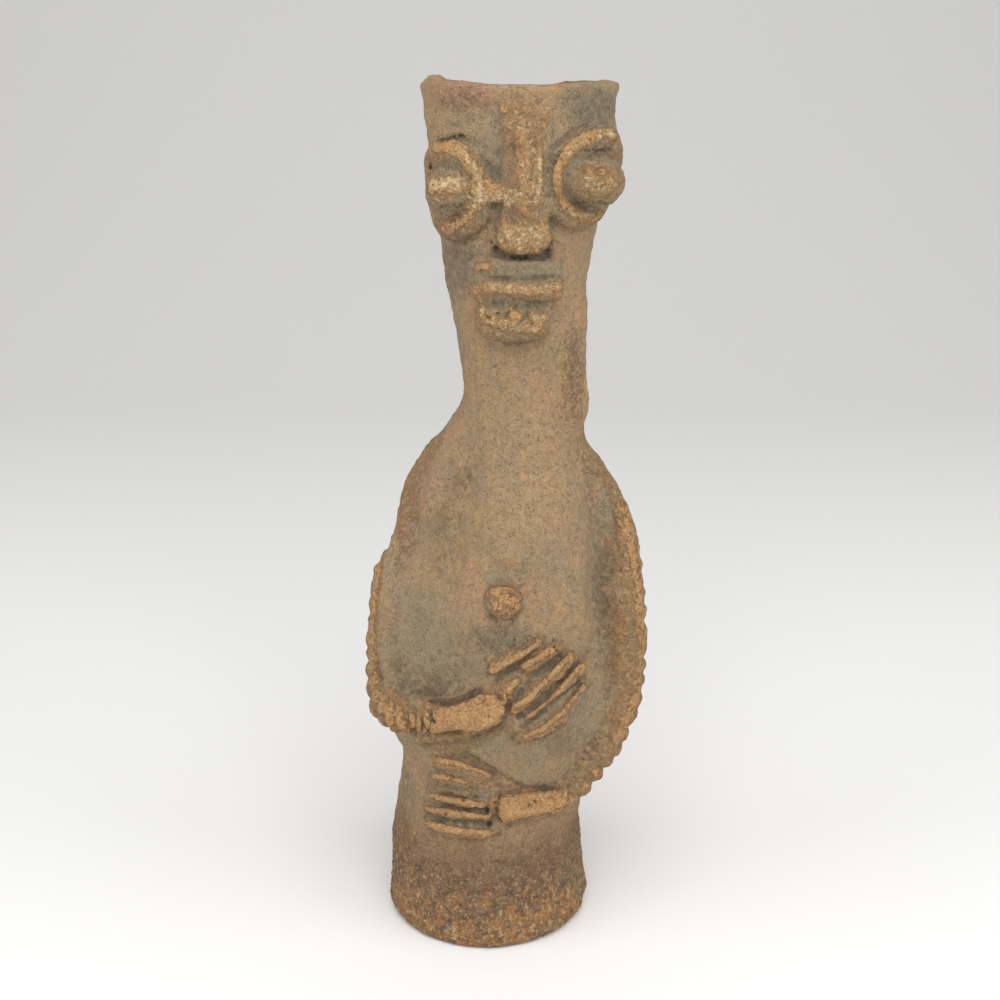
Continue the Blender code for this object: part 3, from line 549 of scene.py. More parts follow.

# Bands of colour along paths of the picture: name, mask, half width in parts, strength and path. The cream
# bands are pale worn clay and painted highlights on crests, and some grey and dark bands are painted shade.
COLOUR_BANDS = (
    (
        "right ring", "worn", 6, 0.85,
        ((436, 146), (448, 144), (463, 152), (476, 171), (481, 188), (474, 206), (461, 219), (446, 228)),
    ),
    (
        "right ring's pale crest", "cream", 4, 0.61,
        ((463, 152), (472, 165), (479, 180), (480, 195), (474, 206)),
    ),
    ("right eye's corner", "worn", 9, 0.80, ((476, 188), (488, 192), (498, 196))),
    ("right eye's corner, upper", "worn", 5, 0.80, ((478, 180), (490, 186), (503, 194), (514, 198))),
    ("right eye's corner, to the nose", "cream", 7, 0.60, ((474, 194), (488, 197), (500, 199), (514, 198))),
    (
        "left ring", "worn", 5, 0.80,
        ((613, 135), (600, 134), (583, 139), (568, 152), (559, 165), (557, 182), (561, 200), (575, 213)),
    ),
    ("left ring's lower side", "worn", 5, 0.75, ((561, 200), (572, 212), (589, 218), (602, 216))),
    ("left ring's top", "cream", 3, 0.61, ((613, 135), (605, 134), (598, 138))),
    ("left ring's inner side", "cream", 3, 0.57, ((584, 140), (575, 146), (566, 156))),
    ("left ring's foot", "cream", 3, 0.49, ((575, 213), (589, 217), (602, 215))),
    # painted highlights: the eyeballs' cream bands, on pale worn clay
    ("right eyeball", "worn", 7, 0.80, ((431, 186), (448, 186), (465, 182))),
    ("right eyeball's pale top", "cream", 6, 0.70, ((431, 184), (448, 183), (462, 181))),
    ("right eyeball's lower spot", "cream", 5, 0.49, ((438, 196), (442, 197))),
    ("left eyeball", "worn", 8, 0.60, ((586, 172), (592, 184), (604, 189), (616, 178))),
    ("left eyeball's pale front", "cream", 5, 0.57, ((587, 177), (592, 186), (603, 190))),
    ("left eyeball's edge", "cream", 3, 0.49, ((614, 184), (617, 182))),
    (
        "round the right eyeball", "grey", 5, 0.75,
        ((458, 160), (466, 172), (469, 186), (463, 201), (450, 210), (437, 209)),
    ),
    (
        "round the left eyeball", "grey", 5, 0.70,
        ((610, 147), (592, 149), (577, 156), (568, 170), (567, 186), (575, 200), (592, 207), (608, 204)),
    ),
    # painted shade on the eyeballs' tops, under the rings
    ("left eyeball's top", "grey", 6, 0.50, ((582, 160), (596, 157), (612, 160), (618, 168))),
    ("right eyeball's top", "grey", 6, 0.50, ((432, 172), (447, 170), (460, 174))),
    ("nose", "red", 16, 0.55, ((517, 122), (522, 150), (525, 180), (524, 205))),
    ("nose's lower right side", "red", 8, 0.80, ((504, 190), (510, 205), (512, 216))),
    ("nose, worn", "worn", 16, 0.62, ((520, 118), (523, 150), (526, 180), (526, 205))),
    ("nose, pores", "dark", 13, 0.26, ((520, 125), (523, 150), (526, 180), (526, 205))),
    ("nose, pale", "cream", 12, 0.42, ((526, 115), (530, 140), (530, 170), (532, 205))),
    ("nose's left ridge", "cream", 5, 0.62, ((538, 160), (540, 180), (538, 200))),
    ("nose's root", "cream", 5, 0.45, ((506, 120), (508, 128))),
    ("nose's tip", "worn", 15, 0.80, ((505, 236), (524, 238), (545, 236))),
    ("nose's pale tip", "cream", 13, 0.51, ((503, 236), (520, 238), (542, 236))),
    ("over the nose's tip", "grey", 4, 0.60, ((526, 213), (522, 218))),
    ("under the nose", "grey", 5, 0.90, ((496, 250), (508, 258), (530, 259), (548, 254))),
    ("slit under the nose", "dark", 3, 0.36, ((497, 249), (508, 257), (530, 258), (547, 253))),
    ("upper lip", "grey", 10, 0.75, ((492, 270), (520, 270), (556, 268))),
    ("upper lip's middle", "red", 6, 0.50, ((492, 268), (520, 266), (548, 266))),
    ("upper lip's corner", "worn", 5, 0.46, ((478, 266), (490, 268))),
    ("mouth", "grey", 4, 0.90, ((486, 277), (510, 278), (535, 280), (556, 277))),
    ("lower lip", "worn", 5, 0.80, ((478, 288), (500, 287), (530, 290), (560, 286))),
    ("lower lip's pale crest", "cream", 4, 0.52, ((486, 287), (500, 286), (530, 290), (556, 287))),
    ("chin", "worn", 9, 0.60, ((482, 312), (500, 320), (520, 326), (540, 324))),
    ("chin's pale edge", "cream", 7, 0.51, ((482, 313), (495, 319), (512, 327), (530, 330), (540, 320))),
    ("chin's right hollow", "grey", 6, 0.80, ((490, 303), (503, 304), (512, 306), (500, 312))),
    ("chin's left hollow", "grey", 6, 0.80, ((524, 305), (535, 305), (546, 306), (541, 316))),
    ("chin's split", "grey", 3, 0.80, ((518, 303), (510, 312), (502, 320))),
    # orange wear, made stronger to brighten the arms' side-facing edges: painted light
    (
        "right arm's edge", "worn", 8, 0.85,
        ((396, 500), (382, 545), (373, 600), (371, 640), (375, 690), (388, 718)),
    ),
    (
        "left arm's edge", "worn", 9, 0.80,
        ((626, 510), (636, 560), (641, 610), (643, 650), (636, 700), (618, 740)),
    ),
    # painted highlights on the arms' notches, over pale worn clay
    (
        "right arm's pale notches", "cream", 5, 0.42,
        ((380, 545), (371, 600), (369, 640), (373, 690), (386, 720)),
    ),
    (
        "left arm's pale notches", "cream", 5, 0.40,
        ((630, 510), (640, 560), (645, 610), (646, 650), (640, 700)),
    ),
    ("over the left elbow", "worn", 14, 0.50, ((622, 620), (626, 645), (622, 670))),
    ("right forearm", "worn", 15, 0.95, ((438, 726), (465, 722), (490, 712), (500, 706))),
    ("right elbow", "worn", 12, 0.70, ((388, 700), (400, 722), (424, 726))),
    ("right forearm's upper edge", "red", 5, 0.95, ((434, 702), (448, 702), (461, 700))),
    # painted shadow along the right forearm's upper edge
    ("right forearm's upper slit", "dark", 5, 0.85, ((434, 700), (448, 702), (462, 699), (478, 692))),
    ("left forearm", "worn", 13, 0.95, ((500, 810), (530, 804), (560, 800))),
    ("left forearm's upper edge", "red", 6, 0.60, ((497, 795), (520, 793), (545, 791))),
    # painted shade in the crease under the belly, over the left forearm
    ("slit over the left forearm", "dark", 4, 0.50, ((497, 783), (505, 788), (530, 790), (562, 790))),
    ("over the left forearm", "red", 6, 0.45, ((494, 782), (505, 787), (530, 789), (562, 790))),
    ("under the left elbow", "worn", 6, 0.60, ((575, 800), (586, 785), (600, 768))),
    ("left hand's fourth crest", "worn", 4, 0.75, ((434, 797), (460, 801), (488, 807))),
    ("left hand's fifth crest", "worn", 4, 0.80, ((430, 812), (458, 815), (490, 818))),
    ("left hand's lowest crest", "worn", 4, 0.85, ((430, 824), (445, 829), (470, 832), (496, 834))),
    ("left hand's top edge", "worn", 6, 0.50, ((445, 758), (470, 764), (494, 776))),
    ("left hand's fourth gap", "grey", 4, 0.85, ((434, 804), (458, 808), (486, 811))),
    ("left hand's fifth gap", "grey", 4, 0.85, ((434, 820), (460, 823), (490, 825))),
    ("left hand's third gap", "grey", 4, 0.70, ((434, 792), (455, 794), (480, 797))),
    # painted shade and grey dirt in the pocket beside the right arm
    ("hollow beside the right arm", "grey", 12, 0.55, ((392, 560), (398, 600), (404, 640), (420, 670))),
    ("hollow's foot", "grey", 16, 0.60, ((415, 600), (430, 640), (440, 670), (470, 665))),
    # painted shade and grey dirt in the valley beside the left arm
    (
        "hollow beside the left arm", "grey", 13, 0.45,
        ((598, 480), (600, 540), (600, 600), (602, 660), (596, 710)),
    ),
    # painted shade and grey dirt on the belly's underside
    ("belly's foot", "grey", 16, 0.55, ((600, 690), (580, 735), (550, 752), (520, 752), (490, 748))),
    # painted shade along the pocket's foot over the right forearm and down the arm's inner side
    ("slit over the right forearm", "dark", 9, 0.52, ((396, 664), (404, 684), (420, 692), (440, 694))),
    (
        "over the right forearm", "grey", 12, 0.55,
        ((396, 656), (404, 674), (420, 684), (450, 684), (478, 670)),
    ),
    ("right arm's inner side", "dark", 6, 0.35, ((398, 600), (395, 640), (396, 665))),
    ("right shoulder", "red", 10, 0.60, ((430, 470), (415, 500), (402, 530))),
    ("left elbow's side", "red", 12, 0.50, ((606, 750), (620, 715), (630, 680))),
    ("beside the navel", "red", 12, 0.40, ((470, 560), (468, 600), (470, 640))),
)

# Bands of colour that every carved mark gets: how much wider than the mark, and how strong. A gap's dark
# band, stronger the deeper the gap, and each pit's dark band are painted shade.
CREST_BAND, CREST_WORN = 1.4, 0.72
GAP_BAND, GAP_GREY = 1.4, 0.65
GAP_SHADE_BY_DEPTH, GAP_SHADE_MOST = 0.2, 0.45
PIT_BAND, PIT_SHADE = 0.9, 0.9
BAND_EDGE = 0.75  # how steeply a band fades to its edge
STAIN_EDGE = 0.7  # how steeply a stain fades to its edge

FOOT_STAIN_TOP = 92.0  # in parts: below it the foot is dark and rusty

# Each stain of the foot: the height where it starts, and the drop to its full strength
FOOT_STAIN = (FOOT_STAIN_TOP + 8, 60)
FOOT_RUST = (FOOT_STAIN_TOP - 26, 45)
FOOT_CRUST = (FOOT_STAIN_TOP - 20, 30)

# Relief that counts as fully raised or hollow, over a few faces and over a few millimetres
FINE_ROUNDS, FINE_RELIEF, FINE_SHARE = 6, 0.00022, 0.4
BROAD_ROUNDS, BROAD_RELIEF, BROAD_SHARE = 30, 0.0008, 0.6
STAIN_WEAR, STAIN_WEAR_RAISED = 0.85, 0.3  # how much of a worn stain shows, and how much more on crests
LAID_ON_WEAR, LAID_ON_WEAR_RAISED = 0.75, 0.5  # the same for the laid-on pieces
HOLLOW_DIRT_AND_SHADE = 0.42  # how much grey dirt and painted shade every gap gets
GREY_OFF_CREAM = 0.5  # how much less grey dirt and painted shade there is under the cream bands of pale clay and painted highlights
WEAR_ROUNDS = 3  # how far the wear of a laid-on piece blurs over its edge

WEIGHT_STEPS = 32
SOFTEN_ROUNDS = 12


def clay_colour(name, description, default):
    """A colour that a user can change."""
    values = {"description": description, "default": default, "min": 0, "max": 1}
    return FloatVectorProperty(name=name, subtype="COLOR", **values)


class ClaySettings(bpy.types.PropertyGroup):
    """Sizes of the modelled clay"""

    grain: FloatProperty(
        name="Grain", description="Size of the fused clay's smallest face", default=0.0009, unit="LENGTH"
    )
    notch_depth: FloatProperty(
        name="Notch depth", description="Depth of the pie-crust notches", default=0.0038, unit="LENGTH"
    )
    faces: IntProperty(
        name="Triangles", description="How many triangles the finished figure may have", default=190000
    )


class ColourSettings(bpy.types.PropertyGroup):
    """Colours of the fired clay"""

    tan: clay_colour("Tan", "The wiped skin", (0.345, 0.232, 0.129))
    olive: clay_colour("Olive", "Duller patches of the skin", (0.258, 0.195, 0.118))
    ochre: clay_colour("Ochre", "Warmer patches of the skin", (0.37, 0.228, 0.11))
    red: clay_colour("Red", "Reddish stains", (0.35, 0.190, 0.120))
    # grey is the dirt's colour, and it also paints shade in hollows, gaps and valleys
    grey: clay_colour("Grey", "Grey-green dirt in the hollows", (0.235, 0.200, 0.132))
    worn: clay_colour("Worn", "Orange clay where the skin is worn off", (0.59, 0.328, 0.142))
    # cream is pale worn clay, and it also paints highlights on crests
    cream: clay_colour("Cream", "Pale grains on worn crests", (0.76, 0.55, 0.30))
    speck: clay_colour("Specks", "Bright grains", (0.72, 0.60, 0.42))
    foot: clay_colour("Foot", "The dark foot", (0.185, 0.105, 0.058))
    rust: clay_colour("Rust", "Rusty patches on the foot", (0.42, 0.195, 0.068))
    # dark also paints shade: in hollows, gaps, pits and creases, and under overhangs
    dark: clay_colour("Dark", "Pores, slits and dark crusts", (0.085, 0.058, 0.040))
    inside: clay_colour("Inside", "The cavity's wall", (0.16, 0.11, 0.075))


class StageSettings(bpy.types.PropertyGroup):
    """Floor and lights"""

    floor_colour: clay_colour("Floor", "Colour of the floor", (0.90, 0.90, 0.90))
    key_power: FloatProperty(
        name="Key light", description="Power of the light above", default=20.5, unit="POWER"
    )
    fill_power: FloatProperty(
        name="Side light", description="Power of each side light", default=9.5, unit="POWER"
    )
    room_colour: clay_colour("Room", "Colour of the light all round", (1.0, 0.985, 0.96))
    room_strength: FloatProperty(
        name="Room light", description="Strength of the light all round", default=0.46
    )


# The lights: name, place, size and which of the stage's settings gives its power
LIGHTS = (
    ("key_light", (0.1, -1.0, 1.6), 1.4, "key_power"),
    ("right_light", (-1.5, -0.6, 0.8), 1.0, "fill_power"),
    ("left_light", (1.5, -0.6, 0.8), 1.0, "fill_power"),
)
LIGHTS_AIM = Vector((0, 0, 0.25))

# Camera of the photograph's view
CAMERA_PLACE = Vector((0.009, -0.80, 0.536))
CAMERA_TILT = math.radians(90 - 18.56)
CAMERA_LENS = 51.68
CAMERA_SENSOR = 36.0
PICTURE_HALF = 500
PICTURE_REACH = CAMERA_LENS / CAMERA_SENSOR * 2 * PICTURE_HALF  # the lens's distance, in pixels


def smooth_row(rows, key):
    """The rows' values at one value of their first column, along a smooth curve through the rows."""
    last = len(rows) - 2
    at = next((i for i in range(last) if key < rows[i + 1][0]), last)
    start, end = rows[at], rows[at + 1]
    before, after = rows[max(at - 1, 0)], rows[min(at + 2, len(rows) - 1)]
    span = end[0] - start[0]
    share = (key - start[0]) / span
    values = [key]
    for column in range(1, len(start)):
        leave = (end[column] - before[column]) / (end[0] - before[0]) * span
        arrive = (after[column] - start[column]) / (after[0] - start[0]) * span
        rise = end[column] - start[column]
        bend = share * (1 - share)
        eased = start[column] + rise * share * share * (3 - 2 * share)
        values.append(eased + bend * ((1 - share) * leave - share * arrive))
    return values


def signed_power(value, power):
    """A power of a number's size that keeps its sign."""
    return math.copysign(abs(value) ** power, value)


def hollow_depth(sideways, ring_height):
    """How far the front of the tube is pressed in between chest and arms, in parts."""
    low, high = HOLLOWS[0][0], HOLLOWS[-1][0]
    if not low < ring_height < high:
        return 0.0
    _, place_a, width_a, depth_a, place_b, width_b, depth_b = smooth_row(HOLLOWS, ring_height)
    pressed = depth_a * math.exp(-(((sideways - place_a) / width_a) ** 2))
    return pressed + depth_b * math.exp(-(((sideways - place_b) / width_b) ** 2))


def tube_point(angle, ring_height, inset=0.0):
    """A point of the tube's surface, in parts. The inset, in parts, is towards the tube's middle."""
    _, middle, half_width, front, back, squareness, slope = smooth_row(TUBE, ring_height)
    turn = math.radians(angle)
    across = signed_power(math.cos(turn), 2 / squareness)
    along = signed_power(math.sin(turn), 2 / squareness)
    depth = front if along < 0 else back
    sideways = middle + (half_width - inset) * across
    deep = (depth - inset) * along
    if along < 0:
        deep += hollow_depth(sideways, ring_height) * min(1.0, -2 * along)
    return Vector((sideways, deep, ring_height + slope * (sideways - middle)))


def ring_height_at(angle, height):
    """The height of the ring that passes through one height at one angle, since some rings slope."""
    ring_height = height
    for _ in range(4):
        ring_height += height - tube_point(angle, ring_height).z
    return min(max(ring_height, 0.0), TUBE_TOP)


def skin(angle, height):
    """The skin's point at an angle and a height, and the outward normal there, in parts."""
    ring_height = ring_height_at(angle, height)
    point = tube_point(angle, ring_height)
    round_it = tube_point(angle + SKIN_STEP, ring_height) - tube_point(angle - SKIN_STEP, ring_height)
    above = tube_point(angle, min(ring_height + SKIN_STEP, TUBE_TOP))
    up_it = above - tube_point(angle, ring_height - SKIN_STEP)
    return point, round_it.cross(up_it).normalized()


def skin_near(place):
    """The skin's point and normal beside a place near it."""
    ring_height = place.z
    for _ in range(3):
        _, middle, half_width, front, back, squareness, slope = smooth_row(TUBE, ring_height)
        ring_height = min(max(place.z - slope * (place.x - middle), 0.0), TUBE_TOP)
    across = signed_power((place.x - middle) / half_width, squareness / 2)
    along = signed_power(place.y / (front if place.y < 0 else back), squareness / 2)
    return skin(math.degrees(math.atan2(along, across)), place.z)


def front_angle(sideways, height):
    """The angle at which the front of the tube has one sideways place, at one height."""
    angle = 270.0
    for _ in range(8):
        _, middle, half_width, _, _, squareness, _ = smooth_row(TUBE, ring_height_at(angle, height))
        across = min(max((sideways - middle) / half_width, -1), 1)
        angle = 360 - math.degrees(math.acos(signed_power(across, squareness / 2)))
    return angle


def clay_object(name, points, faces):
    """A mesh object from points, in parts, and faces."""
    mesh = bpy.data.meshes.new(name)
    mesh.from_pydata([point * PART for point in points], [], faces)
    mesh.update()
    piece = bpy.data.objects.new(name, mesh)
    bpy.context.scene.collection.objects.link(piece)
    return piece


def clay_of_rings(name, first_pole, rings, last_pole):
    """A closed mesh object from rings of points that end in a pole at each end."""
    sides = len(rings[0])
    points = [first_pole] + [point for ring in rings for point in ring] + [last_pole]
    top = 1 + (len(rings) - 1) * sides
    faces = []
    for side in range(sides):
        after = (side + 1) % sides
        faces.append((0, 1 + after, 1 + side))
        faces.append((len(points) - 1, top + side, top + after))
        for low in range(1, top, sides):
            high = low + sides
            faces.append((low + side, low + after, high + after, high + side))
    return clay_object(name, points, faces)


def clay_ring(name, sections):
    """A closed mesh object from cut faces that follow each other round a ring."""
    sides, count = len(sections[0]), len(sections)
    faces = []
    for at in range(count):
        here, ahead = at * sides, (at + 1) % count * sides
        for side in range(sides):
            beside = (side + 1) % sides
            faces.append((here + side, ahead + side, ahead + beside, here + beside))
    return clay_object(name, [point for section in sections for point in section], faces)


def even_steps(start, end, step):
    """Heights from a start to an end, evenly spaced by about one step."""
    count = max(round((end - start) / step), 1)
    return [start + (end - start) * at / count for at in range(count + 1)]


def tube_ring(ring_height, inset=0.0, rise=0.0):
    """One ring of the tube, which follows the rim's waves where it is near the rim."""
    fade = max((ring_height - TUBE_TOP) / WAVES_FADE + 1, 0)
    ring = []
    for column in range(COLUMNS):
        angle = 360 * column / COLUMNS
        wave = fade * smooth_row(RIM_WAVES, angle)[1]
        ring.append(tube_point(angle, ring_height, inset) + Vector((0, 0, rise + wave)))
    return ring


def hollow_tube():
    """The tube with its floor, wall and rounded foot and rim, closed all over and open at the top."""
    wall, floor, cavity = WALL / PART, FLOOR / PART, CAVITY_ROUND / PART
    foot, lip = FOOT_ROUND / PART, LIP_ROUND / PART
    rounding = 0.3
    rings = [tube_ring(0, foot), tube_ring(0, foot * rounding, foot * rounding)]
    rings += [tube_ring(height) for height in even_steps(foot, TUBE_TOP - lip, RING_STEP)]
    rings += [tube_ring(TUBE_TOP, lip * rounding, -lip * rounding), tube_ring(TUBE_TOP, lip)]
    rings += [tube_ring(TUBE_TOP, wall - lip)]
    rings += [tube_ring(TUBE_TOP, wall - lip * rounding, -lip * rounding)]
    inner = even_steps(floor + cavity, TUBE_TOP - lip, CAVITY_STEP)
    rings += [tube_ring(height, wall) for height in reversed(inner)]
    rings += [tube_ring(floor, wall + cavity)]
    return clay_of_rings("tube", Vector((0, 0, 0)), rings, Vector((0, 0, floor)))


def rounded_end(distance, reach):
    """How full a roll is at a distance from its end, when the end is round."""
    if distance >= reach:
        return 1.0
    return math.sqrt(max(1 - (1 - distance / reach) ** 2, 0.0))


def roll(name, rows, step, reach, cut_face):
    """A roll of clay along the skin. Rows start with angle and height, and cut_face reads the rest."""
    lengths = [0.0]
    for start, end in zip(rows, rows[1:]):
        lengths.append(lengths[-1] + (skin(*end[:2])[0] - skin(*start[:2])[0]).length)
    keyed = [(length, *row) for length, row in zip(lengths, rows)]
    total = lengths[-1]
    near = [reach * share for share in END_STEPS]
    whole = even_steps(reach, total - reach, step) if total > 2 * reach else []
    rings = []
    for place in near + whole + [total - at for at in reversed(near)]:
        _, angle, height, *form = smooth_row(keyed, place)
        point, normal = skin(angle, height)
        ahead = skin(*smooth_row(keyed, min(place + 1, total))[1:3])[0]
        behind = skin(*smooth_row(keyed, max(place - 1, 0))[1:3])[0]
        side = normal.cross(ahead - behind).normalized()
        full = min(rounded_end(place, reach), rounded_end(total - place, reach))
        ring = []
        for sideways, lift in cut_face(place, full, *form):
            foot, up = skin_near(point + side * sideways)
            ring.append(foot + up * lift)
        rings.append(ring)
    first = sum(rings[0], Vector()) / len(rings[0])
    last = sum(rings[-1], Vector()) / len(rings[-1])
    return clay_of_rings(name, first, rings, last)


def round_face(sides, sink, squareness=2.0):
    """The cut face of a plain roll: round above the skin, or squarer, and sunk below it."""

    def corners(_, full, half_width, rise):
        places = []
        for corner in range(sides):
            turn = 2 * math.pi * (corner + 0.5) / sides
            across = signed_power(math.cos(turn), 2 / squareness)
            lift = signed_power(math.sin(turn), 2 / squareness)
            height = rise * full if lift > 0 else sink * max(full, END_SINK)
            places.append((half_width * full * across, height * lift))
        return places

    return corners


# Corners of an arm's cut face, from the notched edge over the crest to the inner side and under the skin:
# sideways place and lift, as shares of the edge's or the inner side's width and of the rise or the sink.
ARM_CORNERS = (
    (1.0, 0.0),
    (1.0, 0.3),
    (0.97, 0.55),
    (0.86, 0.76),
    (0.68, 0.9),
    (0.45, 0.98),
    (0.2, 1.0),
    (-0.05, 0.95),
    (-0.25, 0.84),
    (-0.42, 0.66),
    (-0.6, 0.42),
    (-0.8, 0.17),
    (-1, -0.02),
    (-0.7, -0.5),
    (-0.3, -0.9),
    (0.2, -1),
    (0.7, -0.6),
)


def notch_at(place, end, depth):
    """Depth of the pie-crust notches at a place along an arm, in parts."""
    if not NOTCH_START <= place <= end:
        return 0.0
    fade_in = min((place - NOTCH_START) / (2 * NOTCH_PITCH) + NOTCH_FADE_FROM, 1.0)
    turn = math.pi * (place - NOTCH_START) / NOTCH_PITCH
    cusp = 1 - abs(math.sin(turn + NOTCH_DRIFT * math.sin(turn * NOTCH_DRIFT_RATE)))
    uneven = NOTCH_DEPTH_MEAN + NOTCH_DEPTH_CHANGE * math.sin(turn * NOTCH_DEPTH_RATE)
    return depth * fade_in * cusp * uneven


def arm_face(notch_end, outer_side, depth):
    """The cut face of an arm: a notched outer edge, a crest and a soft inner side."""

    def corners(place, full, edge, inner, rise, reach):
        groove = notch_at(place, notch_end, depth)
        places = []
        for sideways, lift in ARM_CORNERS:
            width = (edge if sideways > 0 else inner) * full
            share = min(max(sideways, 0.0) * NOTCH_SPREAD + reach, 1.0)
            notched = groove * share
            raised = rise * full - notched if lift > 0 else SINK * max(full, END_SINK)
            pulled_in = groove * max(sideways, 0.0) ** 2 if lift >= 0 else 0.0
            places.append((outer_side * (width * sideways - pulled_in), raised * lift))
        return places if outer_side > 0 else places[::-1]

    return corners


def front_roll(name, rows, step, reach, cut_face):
    """A roll whose rows give a sideways place on the front of the figure in place of an angle."""
    placed = [(front_angle(sideways, height), height, *rest) for sideways, height, *rest in rows]
    return roll(name, placed, step, reach, cut_face)


def pellet(name, sideways, height, half_width, half_height, rise, sink):
    """A pellet of clay pressed onto the front of the skin: a flattened ball that follows it."""
    point, normal = skin(front_angle(sideways, height), height)
    across = Vector((0, 0, 1)).cross(normal).normalized()
    up = normal.cross(across)
    rings = []
    for ring in range(1, PELLET_STEPS):
        tip = math.pi * ring / PELLET_STEPS
        lift = math.cos(tip) * (rise if math.cos(tip) > 0 else sink)
        rings.append([])
        for corner in range(PELLET_SIDES):
            turn = 2 * math.pi * corner / PELLET_SIDES
            out = across * half_width * math.cos(turn) - up * half_height * math.sin(turn)
            foot, outward = skin_near(point + out * math.sin(tip))
            rings[-1].append(foot + outward * lift)
    return clay_of_rings(name, point + normal * rise, rings, point - normal * sink)


def eye_ring(name, sideways, height, half_width, half_height):
    """A roll bent into a ring round an eye, its ends closed on each other."""
    middle_angle = front_angle(sideways, height)
    here, beside = skin(middle_angle, height)[0], skin(middle_angle + 1, height)[0]
    degrees = half_width / (beside - here).length
    sections = []
    for step in range(EYE_RING_STEPS):
        turn = 2 * math.pi * step / EYE_RING_STEPS
        across, up = degrees * math.cos(turn), half_height * math.sin(turn)
        point, normal = skin(middle_angle + across, height + up)
        inside = skin(middle_angle + across * EYE_RING_INSIDE, height + up * EYE_RING_INSIDE)[0]
        side = (point - inside).normalized()
        section = []
        for corner in range(FINGER_SIDES):
            bend = 2 * math.pi * corner / FINGER_SIDES
            lift = math.sin(bend) * (EYE_RING_RISE if math.sin(bend) > 0 else EYE_RING_SINK)
            section.append(point + side * EYE_RING_HALF_WIDTH * math.cos(bend) + normal * lift)
        sections.append(section)
    return clay_ring(name, sections)


def only(piece):
    """Makes one object the only selected one and the active one."""
    bpy.ops.object.select_all(action="DESELECT")
    piece.select_set(True)
    bpy.context.view_layer.objects.active = piece


def apply_modifier(piece, name, kind, **values):
    """Adds a modifier to a piece, sets its values and applies it."""
    only(piece)
    modifier = piece.modifiers.new(name, kind)
    for key, value in values.items():
        setattr(modifier, key, value)
    bpy.ops.object.modifier_apply(modifier=name)


class Surface:
    """A piece's points and outward normals as arrays, in metres, to be pressed in and raised."""

    def __init__(self, piece):
        self.mesh = piece.data
        self.points = np.empty(len(self.mesh.vertices) * 3)
        self.mesh.vertices.foreach_get("co", self.points)
        self.points = self.points.reshape(-1, 3)
        self.normals = np.empty(len(self.mesh.vertices) * 3, np.float32)
        self.mesh.vertex_normals.foreach_get("vector", self.normals)
        self.normals = self.normals.reshape(-1, 3).astype(float)
        self.tree = BVHTree.FromObject(piece, bpy.context.evaluated_depsgraph_get())
        self.outer = inside_share(self) < 0.5

    def seen(self, across, down):
        """The place on the surface that shows at one place of the picture, or None beside the figure."""
        sideways, up = across - PICTURE_HALF, PICTURE_HALF - down
        ray = Vector((sideways / PICTURE_REACH, up / PICTURE_REACH, -1)).normalized()
        ray.rotate(Matrix.Rotation(CAMERA_TILT, 3, "X"))
        return self.tree.ray_cast(CAMERA_PLACE, ray)[0]

    def path(self, places):
        """A path over the surface through places of the picture."""
        points = []
        for start, end in zip(places, places[1:]):
            length = math.dist(start, end)
            count = max(int(length / PATH_STEP), 1)
            for at in range(count):
                share = at / count
                points.append(self.seen(*(a + (b - a) * share for a, b in zip(start, end))))
        points.append(self.seen(*places[-1]))
        return np.array([point for point in points if point is not None])

    def distances(self, path, reach):
        """Which points are within a reach of a path, how far from it, and at which share of its length."""
        low, high = path.min(0) - reach, path.max(0) + reach
        near = np.nonzero(np.all((self.points > low) & (self.points < high), axis=1) & self.outer)[0]
        points = self.points[near]
        nearest = np.full(len(near), np.inf)
        along = np.zeros(len(near))
        runs = np.diff(path, axis=0)
        lengths = np.linalg.norm(runs, axis=1)
        starts = np.concatenate(([0.0], np.cumsum(lengths)))
        for start, run, length, before in zip(path, runs, lengths, starts):
            share = np.clip((points - start) @ run / max(length * length, 1e-12), 0, 1)
            away = np.linalg.norm(points - start - share[:, None] * run, axis=1)
            closer = away < nearest
            nearest[closer] = away[closer]
            along[closer] = before + share[closer] * length
        close = nearest < reach
        return near[close], nearest[close], along[close] / max(starts[-1], 1e-9)

    def press(self, near, depths):
        """Moves points inwards by depths in metres."""
        self.points[near] -= self.normals[near] * depths[:, None]

    def stroke(self, path, half_width, depth):
        """Presses a soft groove, in metres, along a path, or raises it where the depth is below zero."""
        near, away, along = self.distances(path, half_width)
        fade = np.ones(len(along))
        if len(path) > 2:
            fade = np.clip(np.minimum(along, 1 - along) / STROKE_FADE + STROKE_END, 0, 1)
        self.press(near, depth * fade * (1 - (away / half_width) ** 2) ** 2)

    def write(self):
        """Puts the points back into the piece's mesh."""
        self.mesh.vertices.foreach_set("co", self.points.ravel())
        self.mesh.update()


def axis_at(heights):
    """The tube's sideways middle, in metres, at heights in metres."""
    parts = np.array(heights) / PART
    rows = np.array(TUBE)
    return np.interp(parts, rows[:, 0], rows[:, 1]) * PART


def from_below(level, stain):
    """How strong a stain of the foot is at heights in parts: none at its top, full below its drop."""
    top, drop = stain
    return np.clip((top - level) / drop, 0, 1)


def mark_outside(figure):
    """Weights the points by where unevenness belongs, and fades the weights out by the standing face."""
    surface = Surface(figure)
    level = surface.points[:, 2] / PART
    standing_face, fade = 1.0, 4.0
    outside = (1 - inside_share(surface)) * np.clip((level - standing_face) / fade, 0, 1)
    laid_on = laid_on_wear(surface)
    set_weights(figure, "outside", outside)
    side_crumbling, front_gain, least = 0.3, 1.2, 0.35
    facing_front = np.clip(side_crumbling - front_gain * surface.normals[:, 1], least, 1)
    set_weights(figure, "laid_on", outside * facing_front * laid_on)
    set_weights(figure, "foot_skin", outside * from_below(level, FOOT_CRUST))
    set_weights(figure, "plain", 1 - outside * (0.5 + 0.5 * laid_on))


